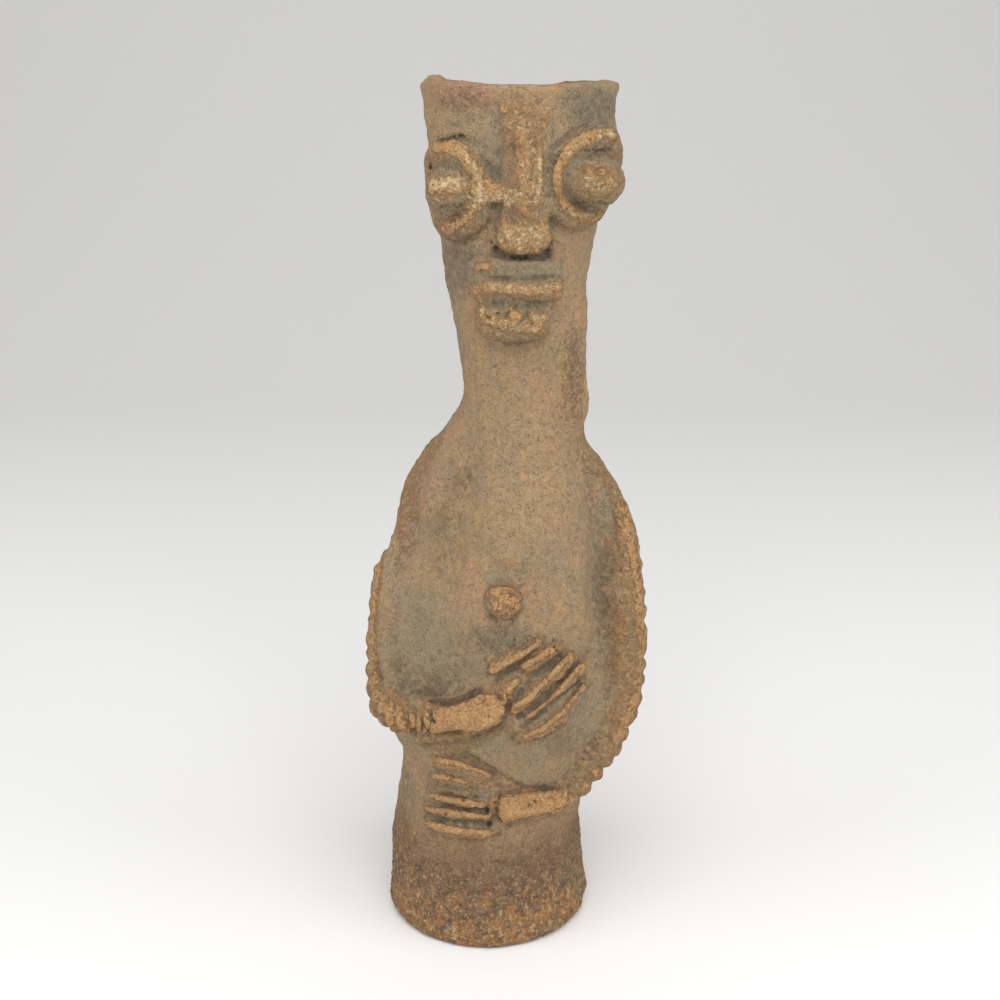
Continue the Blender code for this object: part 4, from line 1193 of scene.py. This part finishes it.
def picture_places(points):
    """Where points show in the picture: across and down."""
    turned = (points - np.array(CAMERA_PLACE)) @ np.array(Matrix.Rotation(CAMERA_TILT, 3, "X"))
    depth = -turned[:, 2]
    across = PICTURE_HALF + PICTURE_REACH * turned[:, 0] / depth
    return across, PICTURE_HALF - PICTURE_REACH * turned[:, 1] / depth


def pits():
    """Each small pit's place in the picture, its half width and its depth."""
    for _, start, end, count, size, depth in PIT_ROWS:
        for at in range(count):
            share = (at + 0.5) / count
            across = start[0] + (end[0] - start[0]) * share
            down = start[1] + (end[1] - start[1]) * share + math.sin(at * PIT_STRAY_RATE)
            uneven = PIT_SIZE + PIT_SIZE_CHANGE * math.sin(at * PIT_SIZE_RATE)
            yield (across, down), size * uneven, depth * PIT_DEPTH


def neighbour_means(mesh, values, rounds):
    """Values at the points, averaged with those of their neighbours some rounds over."""
    edges = np.empty(len(mesh.edges) * 2, np.int32)
    mesh.edges.foreach_get("vertices", edges)
    one, other = edges.reshape(-1, 2).T
    size = len(mesh.vertices)
    count = np.bincount(one, minlength=size) + np.bincount(other, minlength=size)
    columns = values.T
    for _ in range(rounds):
        ahead = [np.bincount(one, column[other], minlength=size) for column in columns]
        behind = [np.bincount(other, column[one], minlength=size) for column in columns]
        columns = (np.array(ahead) + np.array(behind)) / np.maximum(count, 1)
    return columns.T


def write_mask(mesh, name, values):
    """Stores a value from 0 to 1 at each point, for the finish to read."""
    attribute = mesh.attributes.new(name, "FLOAT", "POINT")
    attribute.data.foreach_set("value", np.clip(values, 0, 1).astype(np.float32))


def wear_of(piece_name):
    """How worn a laid-on piece is, by its name."""
    return next(value for name, value in WEAR.items() if piece_name.startswith(name))


def laid_on_wear(surface):
    """How worn each point is by the laid-on piece that it belongs to, with soft edges."""
    worn = np.zeros(len(surface.points))
    graph = bpy.context.evaluated_depsgraph_get()
    for piece in bpy.data.objects:
        if piece.type != "MESH" or piece.name in (NODE, PIECE, "tube"):
            continue
        corners = np.array([corner[:] for corner in piece.bound_box])
        low, high = corners.min(0) - WEAR_REACH, corners.max(0) + WEAR_REACH
        near = np.nonzero(np.all((surface.points > low) & (surface.points < high), axis=1))[0]
        tree = BVHTree.FromObject(piece, graph)
        strength = wear_of(piece.name)
        for index in near:
            found = tree.find_nearest(surface.points[index], WEAR_REACH)
            if found[0] is not None:
                share = 1 - (found[3] / WEAR_REACH) ** 2
                worn[index] = max(worn[index], strength * share)
    return neighbour_means(surface.mesh, worn[:, None], WEAR_ROUNDS)[:, 0]


def colour_bands():
    """Each band's mask, half width, strength and path: the listed ones, then those of marks and pits, whose
    gaps and pits get painted shade.
    """
    for _, mask, half_width, strength, places in COLOUR_BANDS:
        yield mask, half_width, strength, places
    for _, half_width, depth, places in FACE_MARKS + HAND_MARKS:
        if depth < 0:
            yield "worn", half_width * CREST_BAND, CREST_WORN, places
        else:
            yield "grey", half_width * GAP_BAND, GAP_GREY, places
            # painted shade in the gap, darker the deeper it is
            yield "dark", half_width, min(GAP_SHADE_BY_DEPTH * depth, GAP_SHADE_MOST), places
    for place, size, _ in pits():
        # painted shade in each pit
        yield "dark", size * PIT_BAND, PIT_SHADE, (place, place)


def raised_share(surface):
    """How far each point stands above its surroundings, from -1 in a gap to 1 on a crest."""
    fine = neighbour_means(surface.mesh, surface.points, FINE_ROUNDS)
    broad = neighbour_means(surface.mesh, fine, BROAD_ROUNDS)
    fine_relief = np.sum((surface.points - fine) * surface.normals, axis=1) / FINE_RELIEF
    broad_relief = np.sum((fine - broad) * surface.normals, axis=1) / BROAD_RELIEF
    return np.clip(FINE_SHARE * fine_relief + BROAD_SHARE * broad_relief, -1, 1)


def paint_masks(figure):
    """Stores where the figure is worn, pale or given painted highlights, dirty or given painted shade,
    stained, hollow, part of the foot or inside.
    """
    surface = Surface(figure)
    mesh = surface.mesh
    across, down = picture_places(surface.points)
    level = surface.points[:, 2] / PART
    side_on, contrast = 0.5, 2.5
    facing_front = np.clip(side_on - surface.normals[:, 1] * contrast, 0, 1)
    masks = {name: np.zeros(len(across)) for name in ("worn", "cream", "grey", "red", "dark")}
    for name, stains in STAINS.items():
        for _, middle_across, middle_down, half_width, half_height, strength in stains:
            far = ((across - middle_across) / half_width) ** 2 + ((down - middle_down) / half_height) ** 2
            stain = strength * facing_front * np.exp(-STAIN_EDGE * far * far)
            masks[name] = np.maximum(masks[name], stain)
    for name, half_width, strength, places in colour_bands():
        near, away, _ = surface.distances(surface.path(places), half_width * PART)
        share = 1 - (away / (half_width * PART)) ** 2
        masks[name][near] = np.maximum(masks[name][near], strength * share**BAND_EDGE)
    raised = raised_share(surface)
    laid_on = laid_on_wear(surface)
    worn_stains = masks["worn"] * (STAIN_WEAR + STAIN_WEAR_RAISED * raised)
    masks["worn"] = np.maximum(worn_stains, laid_on * (LAID_ON_WEAR + LAID_ON_WEAR_RAISED * raised))
    # the hollow mask carries painted shade: the finish darkens each point by how far it sinks below its
    # surroundings
    masks["hollow"] = np.clip(-raised, 0, 1)
    # grey in the hollows: dirt and painted shade
    dirt = np.maximum(masks["grey"], HOLLOW_DIRT_AND_SHADE * masks["hollow"])
    masks["grey"] = dirt - GREY_OFF_CREAM * masks["cream"]
    masks["foot"] = from_below(level, FOOT_STAIN)
    masks["rust"] = from_below(level, FOOT_RUST)
    masks["inside"] = inside_share(surface)
    for name, values in masks.items():
        write_mask(mesh, name, values)


def inside_share(surface):
    """How far each point belongs to the cavity, from 0 to 1."""
    out = surface.points.copy()
    out[:, 0] -= axis_at(surface.points[:, 2])
    out[:, 2] = 0
    facing = np.sum(out * surface.normals, axis=1) / np.maximum(np.linalg.norm(out, axis=1), 1e-6)
    side_on, contrast, underside = 0.2, 3, 2.0
    above_underside = surface.points[:, 2] / PART > underside
    return np.clip(side_on - facing * contrast, 0, 1) * above_underside


def set_weights(figure, name, weights):
    """Makes a vertex group from an array of weights from 0 to 1, which are rounded to even steps."""
    group = figure.vertex_groups.new(name=name)
    steps = np.round(weights * WEIGHT_STEPS).astype(int)
    for step in range(1, WEIGHT_STEPS + 1):
        group.add(np.nonzero(steps == step)[0].tolist(), step / WEIGHT_STEPS, "REPLACE")


def carve(marks):
    """Carves a list of marks into the figure."""
    surface = Surface(bpy.data.objects[PIECE])
    for _, half_width, depth, places in marks:
        surface.stroke(surface.path(places), half_width * PART, depth * PART)
    surface.write()


class CLAY_OT_tube(bpy.types.Operator):
    """Builds the hollow tube with its closed floor"""

    bl_idname = "clay.tube"
    bl_label = "Build the tube"

    def execute(self, context):
        hollow_tube()
        return {"FINISHED"}


class CLAY_OT_arms(bpy.types.Operator):
    """Lays both arms with their pie-crust edges on the tube"""

    bl_idname = "clay.arms"
    bl_label = "Lay the arms"

    def execute(self, context):
        depth = context.scene.clay.notch_depth / PART
        step = NOTCH_PITCH / NOTCH_STEPS
        roll("right_arm", RIGHT_ARM, step, ARM_END_ROUND, arm_face(RIGHT_NOTCH_END, -1, depth))
        roll("left_arm", LEFT_ARM, step, ARM_END_ROUND, arm_face(LEFT_NOTCH_END, 1, depth))
        return {"FINISHED"}


class CLAY_OT_hands(bpy.types.Operator):
    """Lays both hands' palms and rolled fingers"""

    bl_idname = "clay.hands"
    bl_label = "Lay the hands"

    def execute(self, context):
        cut_face = round_face(FINGER_SIDES, FINGER_SINK)
        hands = {"right": (RIGHT_PALM, RIGHT_FINGERS), "left": (LEFT_PALM, LEFT_FINGERS)}
        for side, (palm, fingers) in hands.items():
            pellet(f"{side}_palm", *palm, FINGER_SINK)
            for count, (root, middle, tip, thick) in enumerate(fingers):
                rows = [(*root, thick, FINGER_RISE), (*middle, thick, FINGER_RISE)]
                rows.append((*tip, thick * FINGER_TAPER, FINGER_RISE * FINGER_TAPER))
                front_roll(f"{side}_finger_{count + 1}", rows, FINGER_STEP, thick, cut_face)
        return {"FINISHED"}


class CLAY_OT_face(bpy.types.Operator):
    """Lays eyes, nose, lips and chin on the head, and the navel on the belly"""

    bl_idname = "clay.face"
    bl_label = "Lay the face and the navel"

    def execute(self, context):
        for side, ring in EYE_RINGS.items():
            eye_ring(f"{side}_eye_ring", *ring)
            pellet(f"{side}_eye_ball", *EYE_BALLS[side], SINK)
        corner_face = round_face(FINGER_SIDES, FINGER_SINK)
        front_roll("eye_corner", EYE_CORNER, FACE_STEP, EYE_CORNER_ROUND, corner_face)
        cut_face = round_face(ROLL_SIDES, SINK, FACE_SQUARENESS)
        mouth = {"upper_lip": UPPER_LIP, "lower_lip": LOWER_LIP, "chin": CHIN}
        for name, rows in {"lips_pad": LIPS_PAD, "chin_pad": CHIN_PAD, **mouth}.items():
            front_roll(name, rows, FACE_STEP, FACE_END_ROUND, cut_face)
        front_roll("nose", NOSE, FACE_STEP, FACE_END_ROUND, round_face(ROLL_SIDES, SINK))
        pellet("navel", *NAVEL, SINK)
        return {"FINISHED"}


class CLAY_OT_fuse(bpy.types.Operator):
    """Fuses the tube and the laid-on clay into one surface"""

    bl_idname = "clay.fuse"
    bl_label = "Fuse the clay"

    def execute(self, context):
        bpy.ops.object.select_all(action="DESELECT")
        laid_on = [piece for piece in bpy.data.objects if piece.type == "MESH" and piece.name != NODE]
        for piece in laid_on:
            copy = piece.copy()
            copy.data = piece.data.copy()
            context.scene.collection.objects.link(copy)
            copy.select_set(True)
            if piece.name == "tube":
                context.view_layer.objects.active = copy
                copy.name = PIECE
        bpy.ops.object.join()
        figure = bpy.data.objects[PIECE]
        grain = context.scene.clay.grain
        apply_modifier(figure, "Fuse", "REMESH", mode="VOXEL", voxel_size=grain, adaptivity=0.0)
        apply_modifier(figure, "Soften", "SMOOTH", factor=0.5, iterations=SOFTEN_ROUNDS)
        return {"FINISHED"}


class CLAY_OT_carve_face(bpy.types.Operator):
    """Carves the mouth, the chin, the nose and the grooves round the eyes"""

    bl_idname = "clay.carve_face"
    bl_label = "Carve the face"

    def execute(self, context):
        carve(FACE_MARKS)
        return {"FINISHED"}


class CLAY_OT_carve_hands(bpy.types.Operator):
    """Carves the fingers' crests and the gaps between them"""

    bl_idname = "clay.carve_hands"
    bl_label = "Carve the hands"

    def execute(self, context):
        carve(HAND_MARKS)
        return {"FINISHED"}


class CLAY_OT_carve_body(bpy.types.Operator):
    """Carves the belly's crease, the forearms' edges and the hollows beside the chest"""

    bl_idname = "clay.carve_body"
    bl_label = "Carve the body"

    def execute(self, context):
        carve(BODY_MARKS)
        return {"FINISHED"}


class CLAY_OT_weather(bpy.types.Operator):
    """Leaves an uneven hand-made skin, crumbled crests, a crusted foot, wiping lines and rows of pits"""

    bl_idname = "clay.weather"
    bl_label = "Weather the surface"

    def execute(self, context):
        figure = bpy.data.objects[PIECE]
        mark_outside(figure)
        for name, size, strength, group in UNEVENNESS:
            texture = bpy.data.textures.new(name, "CLOUDS")
            texture.noise_scale = size
            values = {"texture": texture, "strength": strength, "vertex_group": group}
            apply_modifier(figure, name, "DISPLACE", texture_coords="LOCAL", **values)
        carve(WIPES)
        surface = Surface(figure)
        for place, size, depth in pits():
            surface.stroke(surface.path((place, place)), size * PART, depth * PART)
        surface.write()
        return {"FINISHED"}


class CLAY_OT_thin(bpy.types.Operator):
    """Stores the finish's masks, thins the surface to its number of triangles and shades it smooth"""

    bl_idname = "clay.thin"
    bl_label = "Thin the surface"

    def execute(self, context):
        figure = bpy.data.objects[PIECE]
        paint_masks(figure)
        figure.data.calc_loop_triangles()
        ratio = context.scene.clay.faces / len(figure.data.loop_triangles)
        if ratio < 1:
            values = {"ratio": ratio, "vertex_group": "plain", "vertex_group_factor": 1.0}
            apply_modifier(figure, "Thin", "DECIMATE", **values)
        figure.vertex_groups.clear()
        surface = Surface(figure)
        low, high = np.array(SOLID_LOW) + CLEARANCE, np.array(SOLID_HIGH) - CLEARANCE
        surface.points = np.clip(surface.points, low, high)
        surface.points[:, 2] -= CLEARANCE  # brings the underside back onto the standing face
        surface.write()
        only(figure)
        bpy.ops.object.shade_smooth()
        for piece in [p for p in bpy.data.objects if p.type == "MESH" and p.name not in (NODE, PIECE)]:
            bpy.data.objects.remove(piece)
        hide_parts(NODE)
        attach(figure, BODY)
        return {"FINISHED"}


class NodeMaker:
    """Adds nodes to a tree and links values, colours and sockets to their inputs."""

    def __init__(self, tree):
        self.tree = tree

    def add(self, kind, inputs=(), output=0, **settings):
        """A node with some settings and inputs; gives its output socket."""
        node = self.tree.nodes.new(kind)
        for name, value in settings.items():
            setattr(node, name, value)
        for key, value in dict(inputs).items():
            if isinstance(value, bpy.types.NodeSocket):
                self.tree.links.new(value, node.inputs[key])
            else:
                node.inputs[key].default_value = value
        return node.outputs[output]

    def mask(self, name):
        """A mask stored at the figure's points."""
        return self.add("ShaderNodeAttribute", attribute_name=name, output="Fac")

    def maths(self, operation, one, other):
        """Two values brought together by an operation."""
        return self.add("ShaderNodeMath", {0: one, 1: other}, operation=operation)

    def times(self, one, other):
        """The product of two values."""
        return self.maths("MULTIPLY", one, other)

    def plus(self, one, other):
        """The sum of two values."""
        return self.maths("ADD", one, other)

    def minus(self, one, other):
        """One value less another."""
        return self.maths("SUBTRACT", one, other)

    def noise(self, place, scale, detail, roughness):
        """Cloudy noise over the object, by its own coordinates."""
        inputs = {"Vector": place, "Scale": scale, "Detail": detail, "Roughness": roughness}
        return self.add("ShaderNodeTexNoise", inputs, "Fac")

    def cells(self, place, scale):
        """The distance from the nearest of many scattered points."""
        return self.add("ShaderNodeTexVoronoi", {"Vector": place, "Scale": scale}, "Distance")

    def blend(self, share, below, above, mode="MIX"):
        """Two colours mixed by a share."""
        inputs = {0: share, 6: below, 7: above}
        return self.add("ShaderNodeMix", inputs, 2, data_type="RGBA", blend_type=mode)

    def spread(self, value, low, high, to_low=0.0, to_high=1.0, smooth=True):
        """A value brought from one range to another, held at both ends."""
        inputs = {"Value": value, "From Min": low, "From Max": high, "To Min": to_low, "To Max": to_high}
        kind = "SMOOTHSTEP" if smooth else "LINEAR"
        return self.add("ShaderNodeMapRange", inputs, interpolation_type=kind, clamp=True)

    def group(self, tree, output=0, **inputs):
        """A node group placed with its own values."""
        return self.add("ShaderNodeGroup", inputs, output, node_tree=tree)


def new_group(name, inputs, outputs):
    """An empty shader node group with named sockets; gives its tree, its input and output nodes."""
    tree = bpy.data.node_groups.new(name, "ShaderNodeTree")
    for socket, kind, default in inputs:
        made = tree.interface.new_socket(name=socket, in_out="INPUT", socket_type=kind)
        if default is not None:
            made.default_value = default
    for socket, kind in outputs:
        tree.interface.new_socket(name=socket, in_out="OUTPUT", socket_type=kind)
    return tree, tree.nodes.new("NodeGroupInput").outputs, tree.nodes.new("NodeGroupOutput").inputs


def ragged_group():
    """A soft mask turned into a ragged one: its edge breaks up like flaking slip or settled dirt."""
    sockets = (
        ("Place", "NodeSocketVector", None),
        ("Mask", "NodeSocketFloat", 0.5),
        ("Scale", "NodeSocketFloat", 200.0),
        ("Breakup", "NodeSocketFloat", 0.8),
        ("Edge", "NodeSocketFloat", 0.08),
    )
    tree, given, made = new_group("Ragged edge", sockets, (("Mask", "NodeSocketFloat"),))
    maker = NodeMaker(tree)
    noise = maker.noise(given["Place"], given["Scale"], 5.0, 0.72)
    shift = maker.times(maker.minus(noise, 0.5), given["Breakup"])
    mixed = maker.plus(given["Mask"], shift)
    low = maker.minus(0.5, given["Edge"])
    high = maker.plus(0.5, given["Edge"])
    torn = maker.spread(mixed, low, high)
    present = maker.spread(given["Mask"], 0.02, 0.15)
    tree.links.new(maker.times(torn, present), made["Mask"])
    return tree


def grit_group():
    """Fine grains of coarse clay: a tint to multiply with, pores, pale specks and a height."""
    sockets = (("Place", "NodeSocketVector", None), ("Scale", "NodeSocketFloat", 1.0))
    outputs = [(name, "NodeSocketFloat") for name in ("Tint", "Pores", "Specks", "Height")]
    tree, given, made = new_group("Clay grit", sockets, outputs)
    maker = NodeMaker(tree)

    def scaled(size):
        return maker.times(given["Scale"], size)

    fine = maker.noise(given["Place"], scaled(1000.0), 2.0, 0.75)
    middle = maker.noise(given["Place"], scaled(300.0), 3.0, 0.65)
    both = maker.plus(maker.times(fine, 0.6), maker.times(middle, 0.4))
    tree.links.new(maker.spread(both, 0.3, 0.7, 0.60, 1.40, False), made["Tint"])
    distance = maker.cells(given["Place"], scaled(750.0))
    rare = maker.noise(given["Place"], scaled(330.0), 1.0, 0.5)
    pore = maker.times(maker.spread(distance, 0.36, 0.12), maker.spread(rare, 0.52, 0.62))
    tree.links.new(pore, made["Pores"])
    seeds = maker.cells(given["Place"], scaled(520.0))
    chosen = maker.spread(maker.noise(given["Place"], scaled(210.0), 2.0, 0.6), 0.54, 0.64)
    tree.links.new(maker.times(maker.spread(seeds, 0.26, 0.10), chosen), made["Specks"])
    height = maker.minus(both, maker.times(pore, 0.5))
    tree.links.new(height, made["Height"])
    return tree


class FiredClay(NodeMaker):
    """Adds the clay's nodes, and keeps the noises and masks that several of its layers share."""

    def __init__(self, tree, colours):
        super().__init__(tree)
        self.colours = colours
        self.ragged = ragged_group()
        self.place = self.add("ShaderNodeTexCoord", output="Object")
        upright = self.add("ShaderNodeMapping", {"Vector": self.place, "Scale": (1.0, 1.0, 0.12)})
        self.streaks = self.noise(upright, 240.0, 4.0, 0.7)
        self.mottle = self.noise(self.place, 95.0, 6.0, 0.75)
        self.flecks = self.noise(self.place, 620.0, 4.0, 0.75)
        self.foot, self.rust = self.mask("foot"), self.mask("rust")
        crumbly = self.spread(self.mask("worn"), 0.45, 0.65)
        soft = self.times(self.torn(self.mask("worn"), 520.0, 1.3, 0.26), self.minus(1.0, crumbly))
        self.crumbs = self.times(self.torn(self.mask("worn"), 330.0, 1.6, 0.17), crumbly)
        self.worn = self.plus(soft, self.crumbs)
        self.rough = self.maths("MAXIMUM", self.worn, self.times(self.foot, 0.7))
        self.loose = self.maths("MAXIMUM", self.times(self.crumbs, crumbly), self.times(self.foot, 0.9))
        # the cream bands: pale worn clay and painted highlights on crests
        self.pale = self.torn(self.mask("cream"), 400.0, 2.0, 0.14)

    def torn(self, mask, scale, breakup, edge):
        """A mask with a ragged edge: how fine it is, how broken up and how soft."""
        values = {"Place": self.place, "Mask": mask, "Scale": scale, "Breakup": breakup, "Edge": edge}
        return self.group(self.ragged, **values)

    def layer(self, below, share, strength, name):
        """One of the clay's colours laid over what is below it, by a share and a strength."""
        above = (*getattr(self.colours, name), 1.0)
        return self.blend(self.times(share, strength), below, above)


def wiped_skin(clay):
    """The skin's colour: tan with duller, warmer and reddish patches, upright streaks and marbling."""
    clouds = clay.noise(clay.place, 22.0, 5.0, 0.65)
    blush = clay.noise(clay.place, 48.0, 6.0, 0.7)
    marbling = clay.noise(clay.place, 260.0, 3.0, 0.65)
    colour = clay.layer((*clay.colours.tan, 1.0), clay.spread(clouds, 0.40, 0.62), 0.8, "olive")
    colour = clay.layer(colour, clay.spread(clay.mottle, 0.46, 0.64), 0.68, "ochre")
    colour = clay.layer(colour, clay.spread(blush, 0.52, 0.68), 0.45, "red")
    colour = clay.layer(colour, clay.spread(clay.streaks, 0.46, 0.68), 0.5, "olive")
    colour = clay.layer(colour, clay.spread(marbling, 0.50, 0.68), 0.24, "olive")
    return clay.layer(colour, clay.spread(marbling, 0.46, 0.32), 0.16, "worn")


def stained(clay, colour):
    """The colour under the foot's dark and rusty stains, the reddish stains and the grey-green dirt, which
    also paints shade in the hollows.
    """
    some_foot, some_rust = clay.times(clay.foot, 0.42), clay.times(clay.rust, 0.58)
    foot_streaks = clay.times(clay.foot, clay.spread(clay.streaks, 0.42, 0.60))
    colour = clay.layer(colour, clay.torn(clay.foot, 60.0, 0.9, 0.30), 0.85, "foot")
    colour = clay.layer(colour, clay.torn(clay.mask("red"), 140.0, 1.1, 0.35), 0.65, "red")
    colour = clay.layer(colour, foot_streaks, 0.2, "red")
    colour = clay.layer(colour, clay.torn(some_rust, 90.0, 2.0, 0.14), 0.85, "rust")
    colour = clay.layer(colour, clay.torn(some_foot, 130.0, 1.9, 0.14), 0.7, "olive")
    colour = clay.layer(colour, clay.torn(some_foot, 250.0, 2.2, 0.14), 0.70, "dark")
    # grey: dirt, and painted shade in the hollows
    return clay.layer(colour, clay.torn(clay.mask("grey"), 240.0, 0.9, 0.35), 0.8, "grey")


def worn_down(clay, colour):
    """The colour with the skin worn off: orange clay, pale grains, painted highlights, dark gaps and the
    foot's bare spots.
    """
    colour = clay.layer(colour, clay.worn, 0.88, "worn")
    pale_grains = clay.times(clay.rough, clay.spread(clay.flecks, 0.53, 0.66))
    colour = clay.layer(colour, pale_grains, 0.65, "cream")
    gaps = clay.times(clay.loose, clay.spread(clay.flecks, 0.48, 0.36))
    colour = clay.layer(colour, gaps, 0.45, "foot")
    # painted highlights on crests, over pale worn clay
    colour = clay.layer(colour, clay.pale, 0.9, "cream")
    colour = clay.layer(colour, clay.torn(clay.times(clay.rust, 0.30), 300.0, 2.2, 0.12), 0.5, "cream")
    return clay.layer(colour, clay.torn(clay.times(clay.foot, 0.26), 170.0, 2.2, 0.12), 0.6, "worn")


def darkened_and_shaded(clay, colour):
    """The colour with dark slits, painted shade in every hollow, and the cavity's wall."""
    colour = clay.layer(colour, clay.torn(clay.mask("dark"), 260.0, 0.9, 0.30), 0.75, "dark")
    # painted shade: every hollow is darkened by how far it sinks below its surroundings
    colour = clay.layer(colour, clay.spread(clay.mask("hollow"), 0.35, 1.1), 0.45, "dark")
    return clay.layer(colour, clay.mask("inside"), 0.8, "inside")


def fired_clay(colours):
    """Fired clay: a wiped tan skin, worn orange crests with painted highlights, grey-green dirt and painted
    shade in hollows, and a rusty foot.
    """
    material = bpy.data.materials.new("worn fired clay")
    material.use_nodes = True
    tree = material.node_tree
    shader = tree.nodes["Principled BSDF"]
    clay = FiredClay(tree, colours)
    colour = darkened_and_shaded(clay, worn_down(clay, stained(clay, wiped_skin(clay))))

    grit = grit_group()
    grains = {"Place": clay.place, "Scale": 1.0}
    tint, pores, specks, height = (
        clay.group(grit, output, **grains) for output in ("Tint", "Pores", "Specks", "Height")
    )
    grey_tint = clay.add("ShaderNodeCombineColor", {0: tint, 1: tint, 2: tint})
    colour = clay.blend(1.0, colour, grey_tint, "MULTIPLY")
    more_pores = clay.spread(clay.rough, 0.0, 1.0, 0.3, 1.0, False)
    more_specks = clay.spread(clay.rough, 0.0, 1.0, 0.25, 1.0, False)
    colour = clay.layer(colour, clay.times(pores, more_pores), 0.6, "dark")
    colour = clay.layer(colour, clay.times(specks, more_specks), 0.7, "speck")

    relief = height
    coarse = clay.times(clay.flecks, clay.rough)
    for texture, share in ((coarse, 1.8), (clay.streaks, 0.6), (clay.pale, 0.7), (clay.crumbs, 0.7)):
        relief = clay.plus(relief, clay.times(texture, share))
    inputs = {"Height": relief, "Strength": 1.0, "Distance": 0.0014}
    tree.links.new(clay.add("ShaderNodeBump", inputs), shader.inputs["Normal"])
    tree.links.new(colour, shader.inputs["Base Color"])
    tree.links.new(clay.spread(clay.mottle, 0.3, 0.7, 0.84, 0.98), shader.inputs["Roughness"])
    shader.inputs["Specular IOR Level"].default_value = 0.25
    return material


class CLAY_OT_finish(bpy.types.Operator):
    """Gives the figure its worn and dirty fired clay, with painted shade and painted highlights"""

    bl_idname = "clay.finish"
    bl_label = "Finish the clay"

    def execute(self, context):
        figure = bpy.data.objects[PIECE]
        figure.data.materials.clear()
        figure.data.materials.append(fired_clay(context.scene.clay_colours))
        return {"FINISHED"}


def backdrop():
    """A sheet of paper that lies flat under the figure and rises in a wide curve behind it."""
    half_width, front, bend_at, radius, top = 4.0, -3.0, 1.2, 1.6, 4.0
    bend_steps = 24
    profile = [(front, 0.0)]
    for step in range(bend_steps + 1):
        turn = math.radians(90 * step / bend_steps)
        profile.append((bend_at + radius * math.sin(turn), radius * (1 - math.cos(turn))))
    profile.append((bend_at + radius, top))
    points = [(side, deep, high) for deep, high in profile for side in (-half_width, half_width)]
    faces = [(2 * at, 2 * at + 1, 2 * at + 3, 2 * at + 2) for at in range(len(profile) - 1)]
    mesh = bpy.data.meshes.new("backdrop")
    mesh.from_pydata(points, [], faces)
    mesh.shade_smooth()
    sweep = bpy.data.objects.new("backdrop", mesh)
    bpy.context.scene.collection.objects.link(sweep)
    return sweep


class CLAY_OT_stage(bpy.types.Operator):
    """Sets the pale floor, the soft lights and the camera"""

    bl_idname = "clay.stage"
    bl_label = "Set the stage"

    def execute(self, context):
        settings = context.scene.clay_stage
        sweep = backdrop()
        material = bpy.data.materials.new("pale paper")
        material.use_nodes = True
        shader = material.node_tree.nodes["Principled BSDF"]
        shader.inputs["Base Color"].default_value = (*settings.floor_colour, 1)
        shader.inputs["Roughness"].default_value = 0.9
        sweep.data.materials.append(material)
        for name, place, size, power in LIGHTS:
            bpy.ops.object.light_add(type="AREA", location=place)
            light = context.active_object
            light.name = name
            light.data.size = size
            light.data.energy = getattr(settings, power)
            aim = LIGHTS_AIM - Vector(place)
            light.rotation_euler = aim.to_track_quat("-Z", "Y").to_euler()
        world = bpy.data.worlds.new("soft room")
        world.use_nodes = True
        light_all_round = world.node_tree.nodes["Background"].inputs
        light_all_round["Color"].default_value = (*settings.room_colour, 1)
        light_all_round["Strength"].default_value = settings.room_strength
        context.scene.world = world
        bpy.ops.object.camera_add(location=CAMERA_PLACE, rotation=(CAMERA_TILT, 0, 0))
        camera = context.active_object
        camera.data.sensor_width = CAMERA_SENSOR
        camera.data.lens = CAMERA_LENS
        camera.data.clip_start = 0.01
        context.scene.camera = camera
        context.scene.view_settings.view_transform = "Standard"
        return {"FINISHED"}


class CLAY_PT_panel(bpy.types.Panel):
    """Lists the steps and sizes of the clay figure"""

    bl_label = "Clay figure"
    bl_idname = "CLAY_PT_panel"
    bl_space_type = "VIEW_3D"
    bl_region_type = "UI"
    bl_category = "Clay Figure"

    def draw(self, context):
        for settings in (context.scene.clay, context.scene.clay_colours, context.scene.clay_stage):
            for name in settings.__annotations__:
                self.layout.prop(settings, name)
        for step in STEPS:
            self.layout.operator(step.bl_idname)


STEPS = (
    CLAY_OT_tube,
    CLAY_OT_arms,
    CLAY_OT_hands,
    CLAY_OT_face,
    CLAY_OT_fuse,
    CLAY_OT_carve_face,
    CLAY_OT_carve_hands,
    CLAY_OT_carve_body,
    CLAY_OT_weather,
    CLAY_OT_thin,
    CLAY_OT_finish,
    CLAY_OT_stage,
)
CLASSES = (ClaySettings, ColourSettings, StageSettings, *STEPS, CLAY_PT_panel)


def register():
    for each in CLASSES:
        bpy.utils.register_class(each)
    bpy.types.Scene.clay = PointerProperty(type=ClaySettings)
    bpy.types.Scene.clay_colours = PointerProperty(type=ColourSettings)
    bpy.types.Scene.clay_stage = PointerProperty(type=StageSettings)


def unregister():
    del bpy.types.Scene.clay_stage
    del bpy.types.Scene.clay_colours
    del bpy.types.Scene.clay
    for each in reversed(CLASSES):
        bpy.utils.unregister_class(each)


def main():
    register()
    bpy.ops.clay.tube()
    bpy.ops.clay.arms()
    bpy.ops.clay.hands()
    bpy.ops.clay.face()
    bpy.ops.clay.fuse()
    bpy.ops.clay.carve_face()
    bpy.ops.clay.carve_hands()
    bpy.ops.clay.carve_body()
    bpy.ops.clay.weather()
    bpy.ops.clay.thin()
    bpy.ops.clay.finish()
    bpy.ops.clay.stage()


if __name__ == "__main__":
    main()
